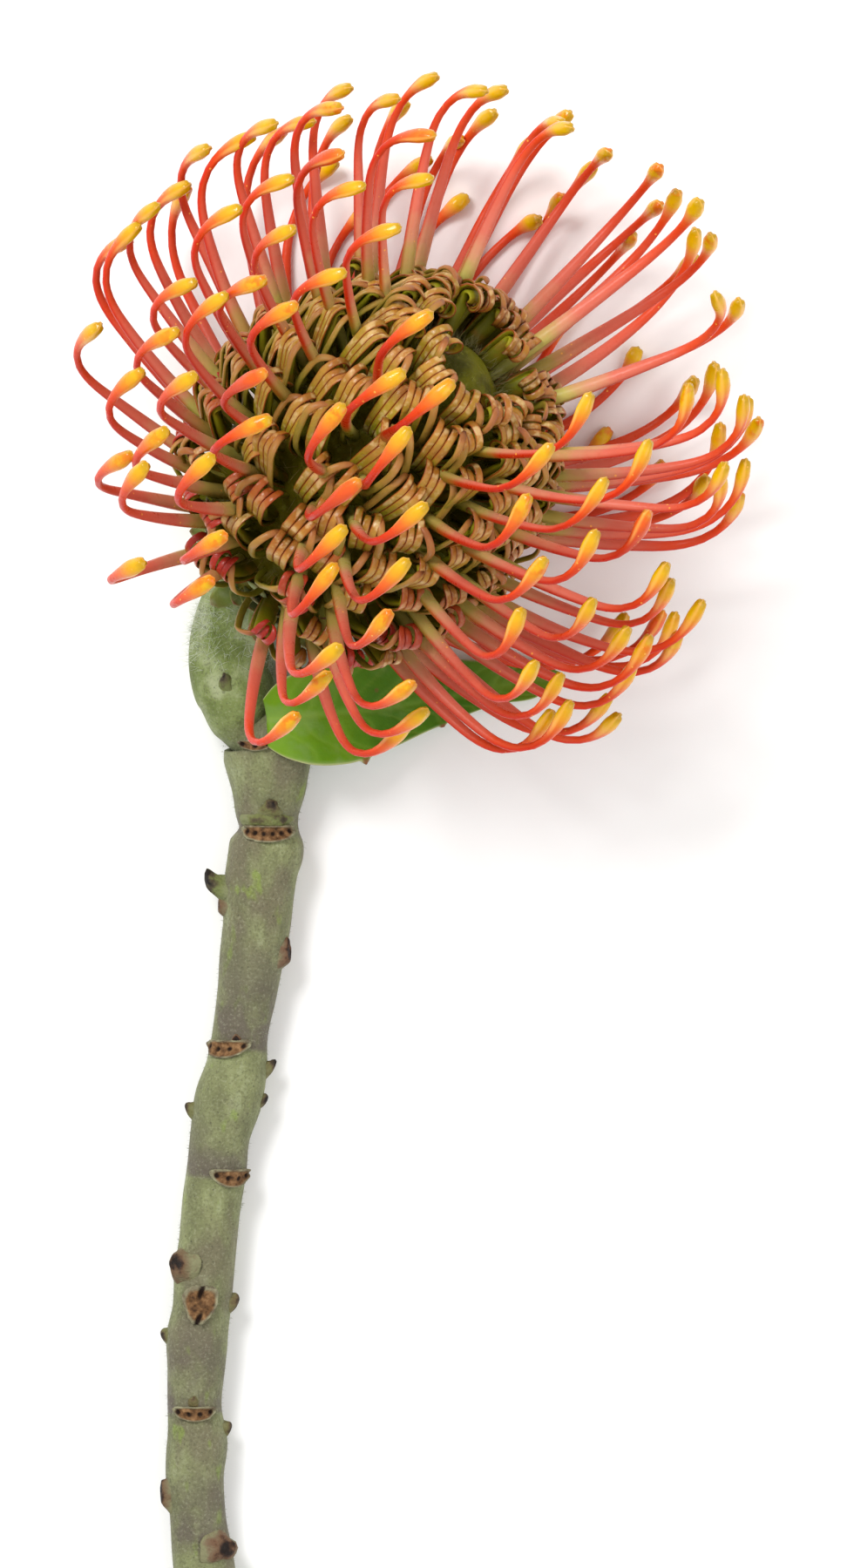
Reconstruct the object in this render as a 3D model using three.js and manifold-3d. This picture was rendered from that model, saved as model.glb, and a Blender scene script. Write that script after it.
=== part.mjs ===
// Pincushion protea: one cut flower head on its woody stem, with the leaf below the head,
// laid down on a flat surface. Millimetres, +Z up, the stem runs towards -Y.

import * as THREE from 'three';
import Module from 'manifold-3d';

const wasm = await Module();
wasm.setup();

// Head: centre of the cushion over the surface, the way the head faces, and the way its bare tip lies
const HEAD_HEIGHT = 31;
const HEAD_AXIS = new THREE.Vector3(0.517, 0.517, 0.682).normalize();
const BARE_TIP_WAY = new THREE.Vector3(0.6, 0.48, 0.61).normalize();
const CUSHION_HALF_LENGTH = 35;
const CUSHION_RADIUS = 28;
const HEAD_SEED = 68;

// Receptacle: outline from its base to its tip, along the head's axis and out from it
const RECEPTACLE_BASE = -29;
const RECEPTACLE_BASE_RADIUS = 7;
const RECEPTACLE_SIDES = 16;
const RECEPTACLE_OUTLINE = [
  [RECEPTACLE_BASE, RECEPTACLE_BASE_RADIUS],
  [-25, 12],
  [-17, 17],
  [-8, 19.2],
  [4, 19.4],
  [15, 15.6],
  [23, 9],
  [27.6, 4],
  [28.6, 1],
];

// Florets: spiral order round the bare tip, from it to the receptacle's base, in degrees
const FLORET_COUNT = 70;
const FIRST_FLORET_ANGLE = 25;
const LAST_FLORET_ANGLE = 147.5;
const GOLDEN_ANGLE = 137.508;

// Styles: where they stand on the receptacle, true length and thickness
const STYLE_ROOT_LENGTH = 24;
const STYLE_ROOT_RADIUS = 18;
const STYLE_ROOT_SHIFT = 4;
const STYLE_ASIDE = -3.9;
const STYLE_LENGTH = 39.3;
const STYLE_GROWTH = 0.09;
const STYLE_NEAR_GROWTH = -7.7;
const STYLE_LENGTH_SPREAD = 2;
const STYLE_BASE_WIDTH = 2.3;
const STYLE_NECK_WIDTH = 1.25;
const STYLE_DEPTH_SHARE = 0.87;
const STYLE_STEPS = 48;
const STYLE_LIFT = 0.75;
const PRESENTER_WIDTH = 2.4;
const PRESENTER_LENGTH = 8;

// Headings of a style away from the head's axis, in degrees: a fan at the root, hooked inwards at the tip
const START_HEADING = 31;
const START_HEADING_GROWTH = 0.462;
const START_HEADING_NEAR = -2.7;
const START_HEADING_SPREAD = 4;
const END_HEADING = -39.8;
const END_HEADING_GROWTH = 0.231;
const END_HEADING_NEAR = 1.4;
const END_HEADING_SPREAD = 14;
const EARLY_BEND = 0.28;
const LATE_BEND_START = 0.556;
const LATE_BEND_END = 0.95;
const STYLE_SWAY = 0.14;

// Perianth curls, larger than life so that fewer of them still cover the cushion
const CURL_ROOT_LENGTH = 24;
const CURL_ROOT_RADIUS = 17.5;
const CURL_SUNK = 1.5;
const CURL_REACH = 11.6;
const CURL_LEAN = 46;
const CURL_LIFT_STEPS = 2;
const CURL_LOOP_RADIUS = 2.9;
const CURL_LOOP_TURN = 190;
const CURL_LOOP_SPREAD = 20;
const CURL_LOOP_STEPS = 3;
const CURL_WIDTH = 5.4;
const CURL_THICKNESS = 1.3;

// Bracts under the cushion: every other one stands further out
const BRACT_COUNT = 10;
const BRACT_LENGTH = 6;
const BRACT_WIDTH = 4.4;
const BRACT_HALF_THICKNESS = 0.9;
const BRACT_SUNK = 1.5;
const BRACT_HEIGHT = 2.6;
const BRACT_HEADINGS = [118, 100];

// Stem and peduncle
const STEM_SIDES = 12;
const SEAT_GAP = 0.35;
const MARK_SIDES = 6;
const MARK_SUNK = 1.2;

// Leaf
const LEAF_LENGTH = 44;
const LEAF_HALF_WIDTH = 8.4;
const LEAF_THICKNESS = 0.9;
const LEAF_CUP = 0.9;
const LEAF_STEPS = 16;
const LEAF_COLUMNS = [-1, -0.55, 0, 0.55, 1];
const TOOTH_REACH = 0.6;
const TOOTH_SPACING = 3;
const TOOTH_START = 0.3;

// Where the leaf lies under the soft styles: middle, way, height, and how far its height is felt
const LEAF_REST = new THREE.Vector2(12, -34);
const LEAF_WAY = new THREE.Vector2(1, 0.1).normalize();
const LEAF_PILE = 3.4;
const LEAF_PILE_LENGTH = LEAF_LENGTH * 0.62;
const LEAF_PILE_WIDTH = LEAF_HALF_WIDTH * 1.7;
const PRESS_DEPTH = 3;

// Middle of the flower's outline on the surface, seen from the head's centre
const FOOTPRINT_CENTRE = new THREE.Vector2(8.15, -58.65);

const UP = new THREE.Vector3(0, 0, 1);
const ACROSS = new THREE.Vector3().crossVectors(HEAD_AXIS, UP).normalize();
const UPWARD = new THREE.Vector3().crossVectors(HEAD_AXIS, ACROSS);
const radians = THREE.MathUtils.degToRad;

function makeRandom(seed) {
  let state = seed;
  return () => {
    state = (state * 1664525 + 1013904223) % 4294967296;
    return state / 4294967296;
  };
}

// A draw between -1 and 1, thickest in the middle
function spread(random) {
  return random() + random() - 1;
}

// Closed body through a row of rings, each ring a list of points wound the same way
function loft(rings) {
  const sides = rings[0].length;
  const points = rings.flat();
  const triangles = [];
  for (let row = 0; row < rings.length - 1; row += 1) {
    for (let side = 0; side < sides; side += 1) {
      const next = (side + 1) % sides;
      const low = row * sides;
      const high = low + sides;
      triangles.push([low + side, low + next, high + next]);
      triangles.push([low + side, high + next, high + side]);
    }
  }
  const last = (rings.length - 1) * sides;
  for (let side = 1; side < sides - 1; side += 1) {
    triangles.push([0, side + 1, side]);
    triangles.push([last, last + side, last + side + 1]);
  }
  return solidFrom(points, triangles);
}

// Solid with its faces turned outwards
function solidFrom(points, triangles) {
  const turned = new THREE.Vector3();
  let volume = 0;
  for (const [a, b, c] of triangles) {
    volume += points[a].dot(turned.crossVectors(points[b], points[c]));
  }
  const ordered = volume < 0 ? triangles.map(([a, b, c]) => [a, c, b]) : triangles;
  const mesh = new wasm.Mesh({
    numProp: 3,
    vertProperties: new Float32Array(points.flatMap((point) => point.toArray())),
    triVerts: new Uint32Array(ordered.flat()),
  });
  return new wasm.Manifold(mesh);
}

function joined(solids) {
  let row = solids;
  while (row.length > 1) {
    const next = [];
    for (let index = 0; index < row.length; index += 2) {
      next.push(index + 1 < row.length ? row[index].add(row[index + 1]) : row[index]);
    }
    row = next;
  }
  return row[0];
}

function geometryOf(solid) {
  const mesh = solid.getMesh();
  const geometry = new THREE.BufferGeometry();
  geometry.setAttribute('position', new THREE.BufferAttribute(mesh.vertProperties, 3));
  geometry.setIndex(new THREE.BufferAttribute(mesh.triVerts, 1));
  geometry.computeVertexNormals();
  return geometry;
}

function meshOf(name, solid, colour, roughness) {
  const material = new THREE.MeshStandardMaterial({ color: colour, roughness, metalness: 0 });
  const mesh = new THREE.Mesh(geometryOf(solid), material);
  mesh.name = name;
  return mesh;
}

// Ring of points around a course: half width to the side, half depth along the third way
function ring(centre, along, side, halfWidth, halfDepth, sides, start) {
  const width = side.clone().addScaledVector(along, -side.dot(along)).normalize();
  const depth = new THREE.Vector3().crossVectors(along, width);
  const points = [];
  for (let index = 0; index < sides; index += 1) {
    const turn = start + (2 * Math.PI * index) / sides;
    const point = centre.clone();
    point.addScaledVector(width, halfWidth * Math.cos(turn));
    point.addScaledVector(depth, halfDepth * Math.sin(turn));
    points.push(point);
  }
  return points;
}

function directionAt(course, index) {
  const before = course[Math.max(index - 1, 0)];
  const after = course[Math.min(index + 1, course.length - 1)];
  return new THREE.Vector3().subVectors(after, before).normalize();
}

// Place in the head: along its axis, out from it, and turned around it
function headPoint(along, out, turn) {
  const point = new THREE.Vector3(0, 0, HEAD_HEIGHT).addScaledVector(HEAD_AXIS, along);
  point.addScaledVector(ACROSS, out * Math.cos(turn));
  return point.addScaledVector(UPWARD, out * Math.sin(turn));
}

function sidewaysAt(turn) {
  const side = new THREE.Vector3().addScaledVector(ACROSS, -Math.sin(turn));
  return side.addScaledVector(UPWARD, Math.cos(turn));
}

// Height that a soft style is held up to by the surface, or by the leaf lying on it
function floorAt(point) {
  const reach = new THREE.Vector2(point.x - LEAF_REST.x, point.y - LEAF_REST.y);
  const along = reach.dot(LEAF_WAY) / LEAF_PILE_LENGTH;
  const aside = reach.cross(LEAF_WAY) / LEAF_PILE_WIDTH;
  return LEAF_PILE * Math.exp(-((along * along + aside * aside) ** 2));
}

// A style that would sink through what it lies on is pressed up along it
function pressed(point, lift) {
  const floor = floorAt(point) + lift;
  const height = point.z - floor;
  if (height < PRESS_DEPTH) {
    point.z = floor + PRESS_DEPTH * Math.exp((height - PRESS_DEPTH) / PRESS_DEPTH);
  }
  return point;
}

function heldAboveSurface(points) {
  points.forEach((point) => {
    point.z = Math.max(point.z, 0);
  });
  return points;
}

// Florets on a spiral round the bare tip: the angle of each from the head's axis and its turn round it
function florets() {
  const first = Math.cos(radians(FIRST_FLORET_ANGLE));
  const last = Math.cos(radians(LAST_FLORET_ANGLE));
  const across = new THREE.Vector3().crossVectors(BARE_TIP_WAY, UP).normalize();
  const upward = new THREE.Vector3().crossVectors(BARE_TIP_WAY, across);
  return Array.from({ length: FLORET_COUNT }, (_, index) => {
    const fromTip = Math.acos(first + ((last - first) * (index + 0.5)) / FLORET_COUNT);
    const spiral = radians(GOLDEN_ANGLE) * index;
    const way = BARE_TIP_WAY.clone().multiplyScalar(Math.cos(fromTip));
    way.addScaledVector(across, Math.cos(spiral) * Math.sin(fromTip));
    way.addScaledVector(upward, Math.sin(spiral) * Math.sin(fromTip));
    return { angle: way.angleTo(HEAD_AXIS), turn: Math.atan2(way.dot(UPWARD), way.dot(ACROSS)) };
  });
}

// Share of the bend done along the style: a little all the way, most of it near the end
function bendShare(part) {
  const late = THREE.MathUtils.smoothstep(part, LATE_BEND_START, LATE_BEND_END);
  return EARLY_BEND * part + (1 - EARLY_BEND) * late;
}

function styleCourse(floret, random) {
  const degrees = THREE.MathUtils.radToDeg(floret.angle);
  const nearSide = ACROSS.z * Math.cos(floret.turn) + UPWARD.z * Math.sin(floret.turn);
  const startHeading = START_HEADING + START_HEADING_GROWTH * degrees + START_HEADING_NEAR * nearSide
    + START_HEADING_SPREAD * spread(random);
  const endHeading = END_HEADING + END_HEADING_GROWTH * degrees + END_HEADING_NEAR * nearSide
    + END_HEADING_SPREAD * spread(random);
  const length = STYLE_LENGTH + STYLE_GROWTH * degrees + STYLE_NEAR_GROWTH * nearSide
    + STYLE_LENGTH_SPREAD * spread(random);
  const sway = STYLE_SWAY * spread(random);
  const rootAngle = floret.angle + radians(STYLE_ROOT_SHIFT);
  let along = STYLE_ROOT_LENGTH * Math.cos(rootAngle);
  let out = STYLE_ROOT_RADIUS * Math.sin(rootAngle);
  const aside = STYLE_ASIDE / out;
  const course = [];
  for (let step = 0; step <= STYLE_STEPS; step += 1) {
    const part = step / STYLE_STEPS;
    const turn = floret.turn + aside * (1 - part / 2) + sway * part * part;
    const point = headPoint(along, out, turn);
    course.push(pressed(point, STYLE_LIFT));
    const heading = radians(startHeading + (endHeading - startHeading) * bendShare(part));
    along += (Math.cos(heading) * length) / STYLE_STEPS;
    out += (Math.sin(heading) * length) / STYLE_STEPS;
  }
  return { course, length };
}

// Where along the style the rings sit, and how thick it is there
function styleProfile(length) {
  const neck = 1 - PRESENTER_LENGTH / length;
  return [
    [0, STYLE_BASE_WIDTH],
    [0.3, STYLE_BASE_WIDTH * 0.95],
    [0.5, STYLE_BASE_WIDTH * 0.8],
    [0.64, STYLE_BASE_WIDTH * 0.68],
    [neck * 0.93, STYLE_NECK_WIDTH],
    [neck, STYLE_NECK_WIDTH],
    [1 - 0.3 * (1 - neck), PRESENTER_WIDTH],
    [1, PRESENTER_WIDTH * 0.42],
  ];
}

function styleSolid(floret, random) {
  const { course, length } = styleCourse(floret, random);
  const side = sidewaysAt(floret.turn);
  const rings = styleProfile(length).map(([part, width]) => {
    const index = Math.round(part * STYLE_STEPS);
    const along = directionAt(course, index);
    const halfDepth = (width / 2) * STYLE_DEPTH_SHARE;
    return heldAboveSurface(ring(course[index], along, side, width / 2, halfDepth, 4, 0));
  });
  return loft(rings);
}

// A curled perianth: a band that rises from the receptacle, leans over and rolls towards the bare tip
function curlSolid(floret, random) {
  const away = Math.atan2(
    Math.sin(floret.angle) / CUSHION_RADIUS,
    Math.cos(floret.angle) / CUSHION_HALF_LENGTH,
  );
  const foot = headPoint(0, 0, floret.turn);
  const up = headPoint(Math.cos(away), Math.sin(away), floret.turn).sub(foot);
  const over = BARE_TIP_WAY.clone().addScaledVector(up, -BARE_TIP_WAY.dot(up)).normalize();
  const side = new THREE.Vector3().crossVectors(over, up);
  const rootLength = CURL_ROOT_LENGTH * Math.cos(floret.angle);
  const rootRadius = CURL_ROOT_RADIUS * Math.sin(floret.angle);
  const point = headPoint(rootLength, rootRadius, floret.turn).addScaledVector(up, -CURL_SUNK);
  const course = [point.clone()];
  const follow = (heading, length) => {
    point.addScaledVector(up, Math.cos(heading) * length);
    point.addScaledVector(over, Math.sin(heading) * length);
    course.push(point.clone());
  };
  const lean = radians(CURL_LEAN);
  for (let step = 0; step < CURL_LIFT_STEPS; step += 1) {
    follow((lean * (step + 0.5)) / CURL_LIFT_STEPS, CURL_REACH / CURL_LIFT_STEPS);
  }
  const bend = radians(CURL_LOOP_TURN + CURL_LOOP_SPREAD * spread(random)) / CURL_LOOP_STEPS;
  for (let step = 0; step < CURL_LOOP_STEPS; step += 1) {
    follow(lean + bend * (step + 0.5), 2 * CURL_LOOP_RADIUS * Math.sin(bend / 2));
  }
  const corner = Math.PI / 4;
  const halfWidth = CURL_WIDTH / 2 / Math.cos(corner);
  const halfThickness = CURL_THICKNESS / 2 / Math.cos(corner);
  return loft(course.map((centre, index) => {
    const along = directionAt(course, index);
    return heldAboveSurface(ring(centre, along, side, halfWidth, halfThickness, 4, corner));
  }));
}

// The receptacle: the body that all florets grow from, with its bare tip
function receptacleSolid() {
  const step = (2 * Math.PI) / RECEPTACLE_SIDES;
  const turns = Array.from({ length: RECEPTACLE_SIDES }, (_, index) => step * index);
  return loft(RECEPTACLE_OUTLINE.map(([along, out]) => turns.map((turn) => headPoint(along, out, turn))));
}

function bractSolid(index) {
  const turn = (2 * Math.PI * (index + 0.5 * (index % 2))) / BRACT_COUNT;
  const side = sidewaysAt(turn);
  const heading = radians(BRACT_HEADINGS[index % 2]);
  const foot = headPoint(0, 0, turn);
  const along = headPoint(Math.cos(heading), Math.sin(heading), turn).sub(foot);
  const root = headPoint(RECEPTACLE_BASE + BRACT_HEIGHT, RECEPTACLE_BASE_RADIUS, turn);
  const stations = [[-BRACT_SUNK, 0.8, 0.8], [BRACT_LENGTH / 2, 1, 1], [BRACT_LENGTH, 0.25, 0.5]];
  return loft(stations.map(([reach, widthShare, thicknessShare]) => {
    const centre = root.clone().addScaledVector(along, reach);
    const halfWidth = (BRACT_WIDTH / 2) * widthShare;
    return ring(centre, along, side, halfWidth, BRACT_HALF_THICKNESS * thicknessShare, 4, 0);
  }));
}

function flowerHead() {
  const random = makeRandom(HEAD_SEED);
  const parts = [receptacleSolid()];
  for (let index = 0; index < BRACT_COUNT; index += 1) {
    parts.push(bractSolid(index));
  }
  for (const floret of florets()) {
    parts.push(curlSolid(floret, random));
    parts.push(styleSolid(floret, random));
  }
  return joined(parts);
}

// Stem stations: x, y, height of the centre and half width, from the cut end to the shoulder
const STEM_STATIONS = [
  [-24.0, -176.0, 4.3, 4.6],
  [-24.9, -164.3, 4.3, 4.6],
  [-25.6, -158.3, 4.4, 4.2],
  [-26.1, -151.7, 4.5, 4.4],
  [-25.8, -147.2, 4.5, 4.6],
  [-26.2, -142.0, 4.5, 4.1],
  [-26.0, -136.0, 4.5, 4.3],
  [-25.8, -131.0, 4.5, 4.6],
  [-25.2, -127.0, 4.5, 4.4],
  [-24.8, -121.5, 4.5, 4.5],
  [-24.2, -116.0, 4.5, 4.4],
  [-22.9, -106.0, 4.6, 4.5],
  [-22.4, -100.8, 4.7, 4.5],
  [-21.0, -94.6, 4.8, 5.1],
  [-20.0, -90.5, 4.8, 4.7],
  [-19.3, -85.4, 4.8, 4.2],
  [-18.3, -79.0, 4.9, 4.5],
  [-17.0, -69.4, 5.0, 5.1],
  [-16.1, -60.5, 5.1, 5.4],
  [-15.1, -56.0, 5.2, 5.4],
  [-15.0, -54.2, 5.3, 4.3],
  [-15.2, -51.5, 5.5, 4.9],
  [-15.0, -47.0, 5.9, 5.9],
  [-15.3, -42.0, 6.3, 6.6],
  [-15.6, -40.4, 6.4, 5.2],
];

// Peduncle stations: x, y, height of the centre and half width, from the shoulder upwards
const PEDUNCLE_STATIONS = [
  [-17.6, -42.5, 6.4, 3.2],
  [-17.8, -40.2, 6.4, 3.4],
  [-18.5, -38.4, 6.4, 4.8],
  [-19.5, -34.5, 6.4, 5.9],
  [-20.6, -30.0, 6.4, 6.0],
  [-20.6, -25.5, 6.9, 6.1],
  [-18.9, -20.6, 8.6, 6.4],
];

function stationRings(stations, sides) {
  const course = stations.map(([x, y, z]) => new THREE.Vector3(x, y, z));
  return stations.map((station, index) => {
    const side = new THREE.Vector3(1, 0, 0);
    const half = station[3];
    const along = directionAt(course, index);
    return heldAboveSurface(ring(course[index], along, side, half, half, sides, Math.PI / sides));
  });
}

// Scars, buds and shed leaf stubs: along the stem, angle round it, reach, half width, half length
const STEM_MARKS = [
  [-51.5, 80, 1.6, 1.3, 1.6],
  [-60.5, 172, 3.4, 1.4, 2.6],
  [-72.5, 12, 1.6, 1.5, 2.6],
  [-87.5, 95, 1.1, 3.2, 1.7],
  [-90.6, 5, 1.3, 1.2, 1.8],
  [-95.5, 8, 1.0, 1.2, 1.5],
  [-97.2, 172, 1.2, 1.3, 1.8],
  [-106.8, 78, 1.2, 3.0, 1.6],
  [-120.2, 165, 1.9, 2.2, 2.4],
  [-125.6, 88, 1.2, 1.7, 3.4],
  [-126.0, 8, 1.2, 1.3, 2.0],
  [-130.8, 172, 1.0, 1.2, 1.8],
  [-141.8, 96, 1.1, 3.0, 1.5],
  [-145.0, 6, 1.1, 1.2, 2.0],
  [-154.2, 174, 1.6, 1.4, 2.6],
  [-162.4, 30, 1.6, 2.6, 2.2],
];

function stemAt(y) {
  const above = STEM_STATIONS.findIndex((station) => station[1] > y);
  const low = STEM_STATIONS[above - 1];
  const high = STEM_STATIONS[above];
  const part = (y - low[1]) / (high[1] - low[1]);
  return low.map((value, index) => value + (high[index] - value) * part);
}

function markSolid([y, angle, reach, halfWidth, halfLength]) {
  const [x, , z, half] = stemAt(y);
  const out = new THREE.Vector3(Math.cos(radians(angle)), 0, Math.sin(radians(angle)));
  const foot = new THREE.Vector3(x, y, z).addScaledVector(out, half);
  const alongStem = new THREE.Vector3(0, 1, 0);
  const stations = [[-MARK_SUNK, 1.1], [reach / 2, 1], [reach, 0.55]];
  return loft(stations.map(([height, share]) => {
    const centre = foot.clone().addScaledVector(out, height);
    return ring(centre, out, alongStem, halfLength * share, halfWidth * share, MARK_SIDES, 0);
  }));
}

function stem() {
  const seat = headPoint(RECEPTACLE_BASE - SEAT_GAP, 0, 0);
  const top = [seat.x, seat.y, seat.z, RECEPTACLE_BASE_RADIUS];
  const peduncle = stationRings([...PEDUNCLE_STATIONS, top], STEM_SIDES);
  const side = new THREE.Vector3(1, 0, 0);
  const half = RECEPTACLE_BASE_RADIUS;
  peduncle[peduncle.length - 1] = ring(seat, HEAD_AXIS, side, half, half, STEM_SIDES, Math.PI / STEM_SIDES);
  const parts = [loft(stationRings(STEM_STATIONS, STEM_SIDES)), loft(peduncle)];
  return joined([...parts, ...STEM_MARKS.map(markSolid)]);
}

// Middle line of the leaf from the stem's shoulder down to the surface, with its half widths towards
// the stem's foot and towards the head
const LEAF_LINE = [
  [-14.6, -37.6, 12.7, 3.4, 3.0],
  [-13.6, -37.5, 12.9, 5.0, 4.4],
  [-10.5, -37.3, 13.4, 7.0, 6.6],
  [-5.0, -36.9, 11.2, 7.7, 8.2],
  [1.5, -36.2, 6.9, 6.3, 8.4],
  [9.0, -35.0, 3.4, 4.2, 6.9],
  [19.0, -33.0, 2.0, 2.5, 4.2],
  [25.5, -31.7, 1.7, 2.4, 2.6],
  [29.0, -31.0, 1.6, 1.0, 1.0],
];

// Half width towards one hand at a place counted in stations of the middle line
function leafHalfWidth(place, hand) {
  const low = Math.min(Math.floor(place), LEAF_LINE.length - 2);
  const column = hand < 0 ? 3 : 4;
  return THREE.MathUtils.lerp(LEAF_LINE[low][column], LEAF_LINE[low + 1][column], place - low);
}

function leaf() {
  const curve = new THREE.CatmullRomCurve3(LEAF_LINE.map(([x, y, z]) => new THREE.Vector3(x, y, z)));
  const upper = [];
  const lower = [];
  for (let step = 0; step <= LEAF_STEPS; step += 1) {
    const part = step / LEAF_STEPS;
    const centre = curve.getPointAt(part);
    const along = curve.getTangentAt(part);
    const side = new THREE.Vector3().crossVectors(UP, along).normalize();
    const normal = new THREE.Vector3().crossVectors(along, side).normalize();
    const place = curve.getUtoTmapping(part) * (LEAF_LINE.length - 1);
    const tooth = step % TOOTH_SPACING === 2 && part > TOOTH_START ? TOOTH_REACH : 0;
    for (const column of LEAF_COLUMNS) {
      const edge = Math.abs(column) === 1;
      const reach = column * (leafHalfWidth(place, column) + (edge ? tooth : 0));
      const cup = LEAF_CUP * column * column * (1 - part);
      const middle = centre.clone().addScaledVector(side, reach).addScaledVector(normal, cup);
      middle.z = Math.max(middle.z, LEAF_THICKNESS / 2);
      upper.push(middle.clone().addScaledVector(normal, LEAF_THICKNESS / 2));
      lower.push(middle.clone().addScaledVector(normal, -LEAF_THICKNESS / 2));
    }
  }
  lower.forEach((point) => {
    point.z = Math.max(point.z, 0);
  });
  return solidFrom([...upper, ...lower], leafTriangles(LEAF_STEPS, LEAF_COLUMNS.length));
}

// Both faces split alike, with the edge between them closed all round
function leafTriangles(steps, columns) {
  const count = (steps + 1) * columns;
  const triangles = [];
  const quad = (a, b, c, d) => triangles.push([a, b, c], [a, c, d]);
  for (let step = 0; step < steps; step += 1) {
    for (let column = 0; column < columns - 1; column += 1) {
      const a = step * columns + column;
      const b = a + columns;
      quad(a, b, b + 1, a + 1);
      triangles.push([count + a, count + b + 1, count + b]);
      triangles.push([count + a, count + a + 1, count + b + 1]);
    }
    const left = step * columns;
    const right = left + columns - 1;
    quad(left, count + left, count + left + columns, left + columns);
    quad(right, right + columns, count + right + columns, count + right);
  }
  for (let column = 0; column < columns - 1; column += 1) {
    const first = column;
    const last = steps * columns + column;
    quad(first, first + 1, count + first + 1, count + first);
    quad(last, count + last, count + last + 1, last + 1);
  }
  return triangles;
}

const flower = new THREE.Group();
flower.position.set(-FOOTPRINT_CENTRE.x, -FOOTPRINT_CENTRE.y, 0);
flower.add(meshOf('stem', stem(), '#8f9a78', 0.7));
flower.add(meshOf('leaf', leaf(), '#5a9220', 0.45));
flower.add(meshOf('flower_head', flowerHead(), '#d9552f', 0.5));

export default flower;
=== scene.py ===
"""Looks of the cut pincushion protea: its head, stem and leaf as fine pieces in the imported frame.

Lengths are millimetres measured from the foot of the head's centre, as in the part's source.
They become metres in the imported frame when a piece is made.
"""

import math

import bpy
import numpy as np
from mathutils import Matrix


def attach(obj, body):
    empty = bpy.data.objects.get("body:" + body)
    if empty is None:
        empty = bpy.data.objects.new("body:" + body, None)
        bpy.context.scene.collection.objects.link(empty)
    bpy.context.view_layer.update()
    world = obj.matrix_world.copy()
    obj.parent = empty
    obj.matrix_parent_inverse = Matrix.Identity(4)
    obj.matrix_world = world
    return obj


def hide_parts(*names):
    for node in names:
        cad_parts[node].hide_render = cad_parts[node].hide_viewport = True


MM = 0.001
BODY = "root"

# Photograph: its size, the size of a pixel on the flower, and the pixel of the head's centre
PHOTO_WIDTH = 972
PHOTO_HEIGHT = 1800
PIXEL = 0.13
HEAD_PIXEL = (422, 535)

# Head
HEAD_HEIGHT = 31
CUSHION_HALF_LENGTH = 35
CUSHION_RADIUS = 28
RECEPTACLE_BASE = -29
RECEPTACLE_BASE_RADIUS = 7
FOOTPRINT_CENTRE = np.array((8.15, -58.65, 0.0))
CUT_END = -176

# Florets, in spiral order round the bare tip, which lies a little beside the head's axis
FLORET_COUNT = 180
FIRST_FLORET_ANGLE = 25
LAST_FLORET_ANGLE = 147.5
GOLDEN_ANGLE = 137.508
SPIRAL_START = -0.724
# Florets round the bare tip stand up: how many, how much shorter they are, and once more on its far
# side, the change in their lean, and how much further they roll
UPRIGHT_FLORETS = 38
UPRIGHT_SHORTER = 3.0
FAR_SIDE_SHORTER = 3.2
UPRIGHT_LEAN = -44
UPRIGHT_TURN = 80
# Low florets are flushed red: angles over which that sets in, and the share of them
BLUSH_ANGLES = (math.radians(80), math.radians(125))
BLUSH_SHARE = 0.75
LEFT_STRAP_SHARE = 0.6
FLORET_SEED = 11

# Leaf: its size, how far it lifts the styles that lie on it, and where its middle lies
LEAF_LENGTH = 44
LEAF_HALF_WIDTH = 8.4
LEAF_THICKNESS = 0.7
LEAF_PILE = 3.4
LEAF_REST = np.array((12, -34))

UP = np.array((0.0, 0.0, 1.0))
# Waves in the bark and round a knob start anywhere in a turn
RANDOM_TURN = 6.28


def unit(vectors):
    return vectors / np.linalg.norm(vectors, axis=-1, keepdims=True)


HEAD_CENTRE = np.array((0.0, 0.0, HEAD_HEIGHT))
HEAD_AXIS = unit(np.array((0.517, 0.517, 0.682)))
ACROSS = unit(np.cross(HEAD_AXIS, UP))
UPWARD = np.cross(HEAD_AXIS, ACROSS)
BARE_TIP_WAY = unit(np.array((0.60, 0.48, 0.61)))
LEAF_WAY = unit(np.array((1.0, 0.1)))


def to_frame(points):
    """Millimetres from the head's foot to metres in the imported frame."""
    return (np.asarray(points, float) - FOOTPRINT_CENTRE) * MM


def ease(low, high, value):
    """Nought up to low and one from high on, with a smooth rise between."""
    part = np.clip((value - low) / (high - low), 0, 1)
    return part * part * (3 - 2 * part)


def spread(draw):
    """A draw between -1 and 1, thickest in the middle."""
    return draw.random() + draw.random() - 1


def table_value(table, places, column=1):
    """A column of a table, read between the places that its first column gives."""
    table = np.array(table)
    return np.interp(places, table[:, 0], table[:, column])


def turns_of(sides, start=0.0):
    return start + 2 * np.pi * np.arange(sides) / sides


def circle(sides, start=0.0):
    turns = turns_of(sides, start)
    return np.stack((np.cos(turns), np.sin(turns)), -1)


def ring_faces(rings, sides):
    """Quads between rings of a closed section, and a fan on a middle point past each end."""
    low = np.arange((rings - 1) * sides).reshape(rings - 1, sides)
    turned = np.roll(low, -1, axis=1)
    quads = np.stack((low, turned, turned + sides, low + sides), -1).reshape(-1, 4)
    first = np.arange(sides)
    last = first + (rings - 1) * sides
    middle = rings * sides
    start = np.stack((np.full(sides, middle), np.roll(first, -1), first), -1)
    end = np.stack((np.full(sides, middle + 1), last, np.roll(last, -1)), -1)
    return quads, np.concatenate((start, end))


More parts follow.
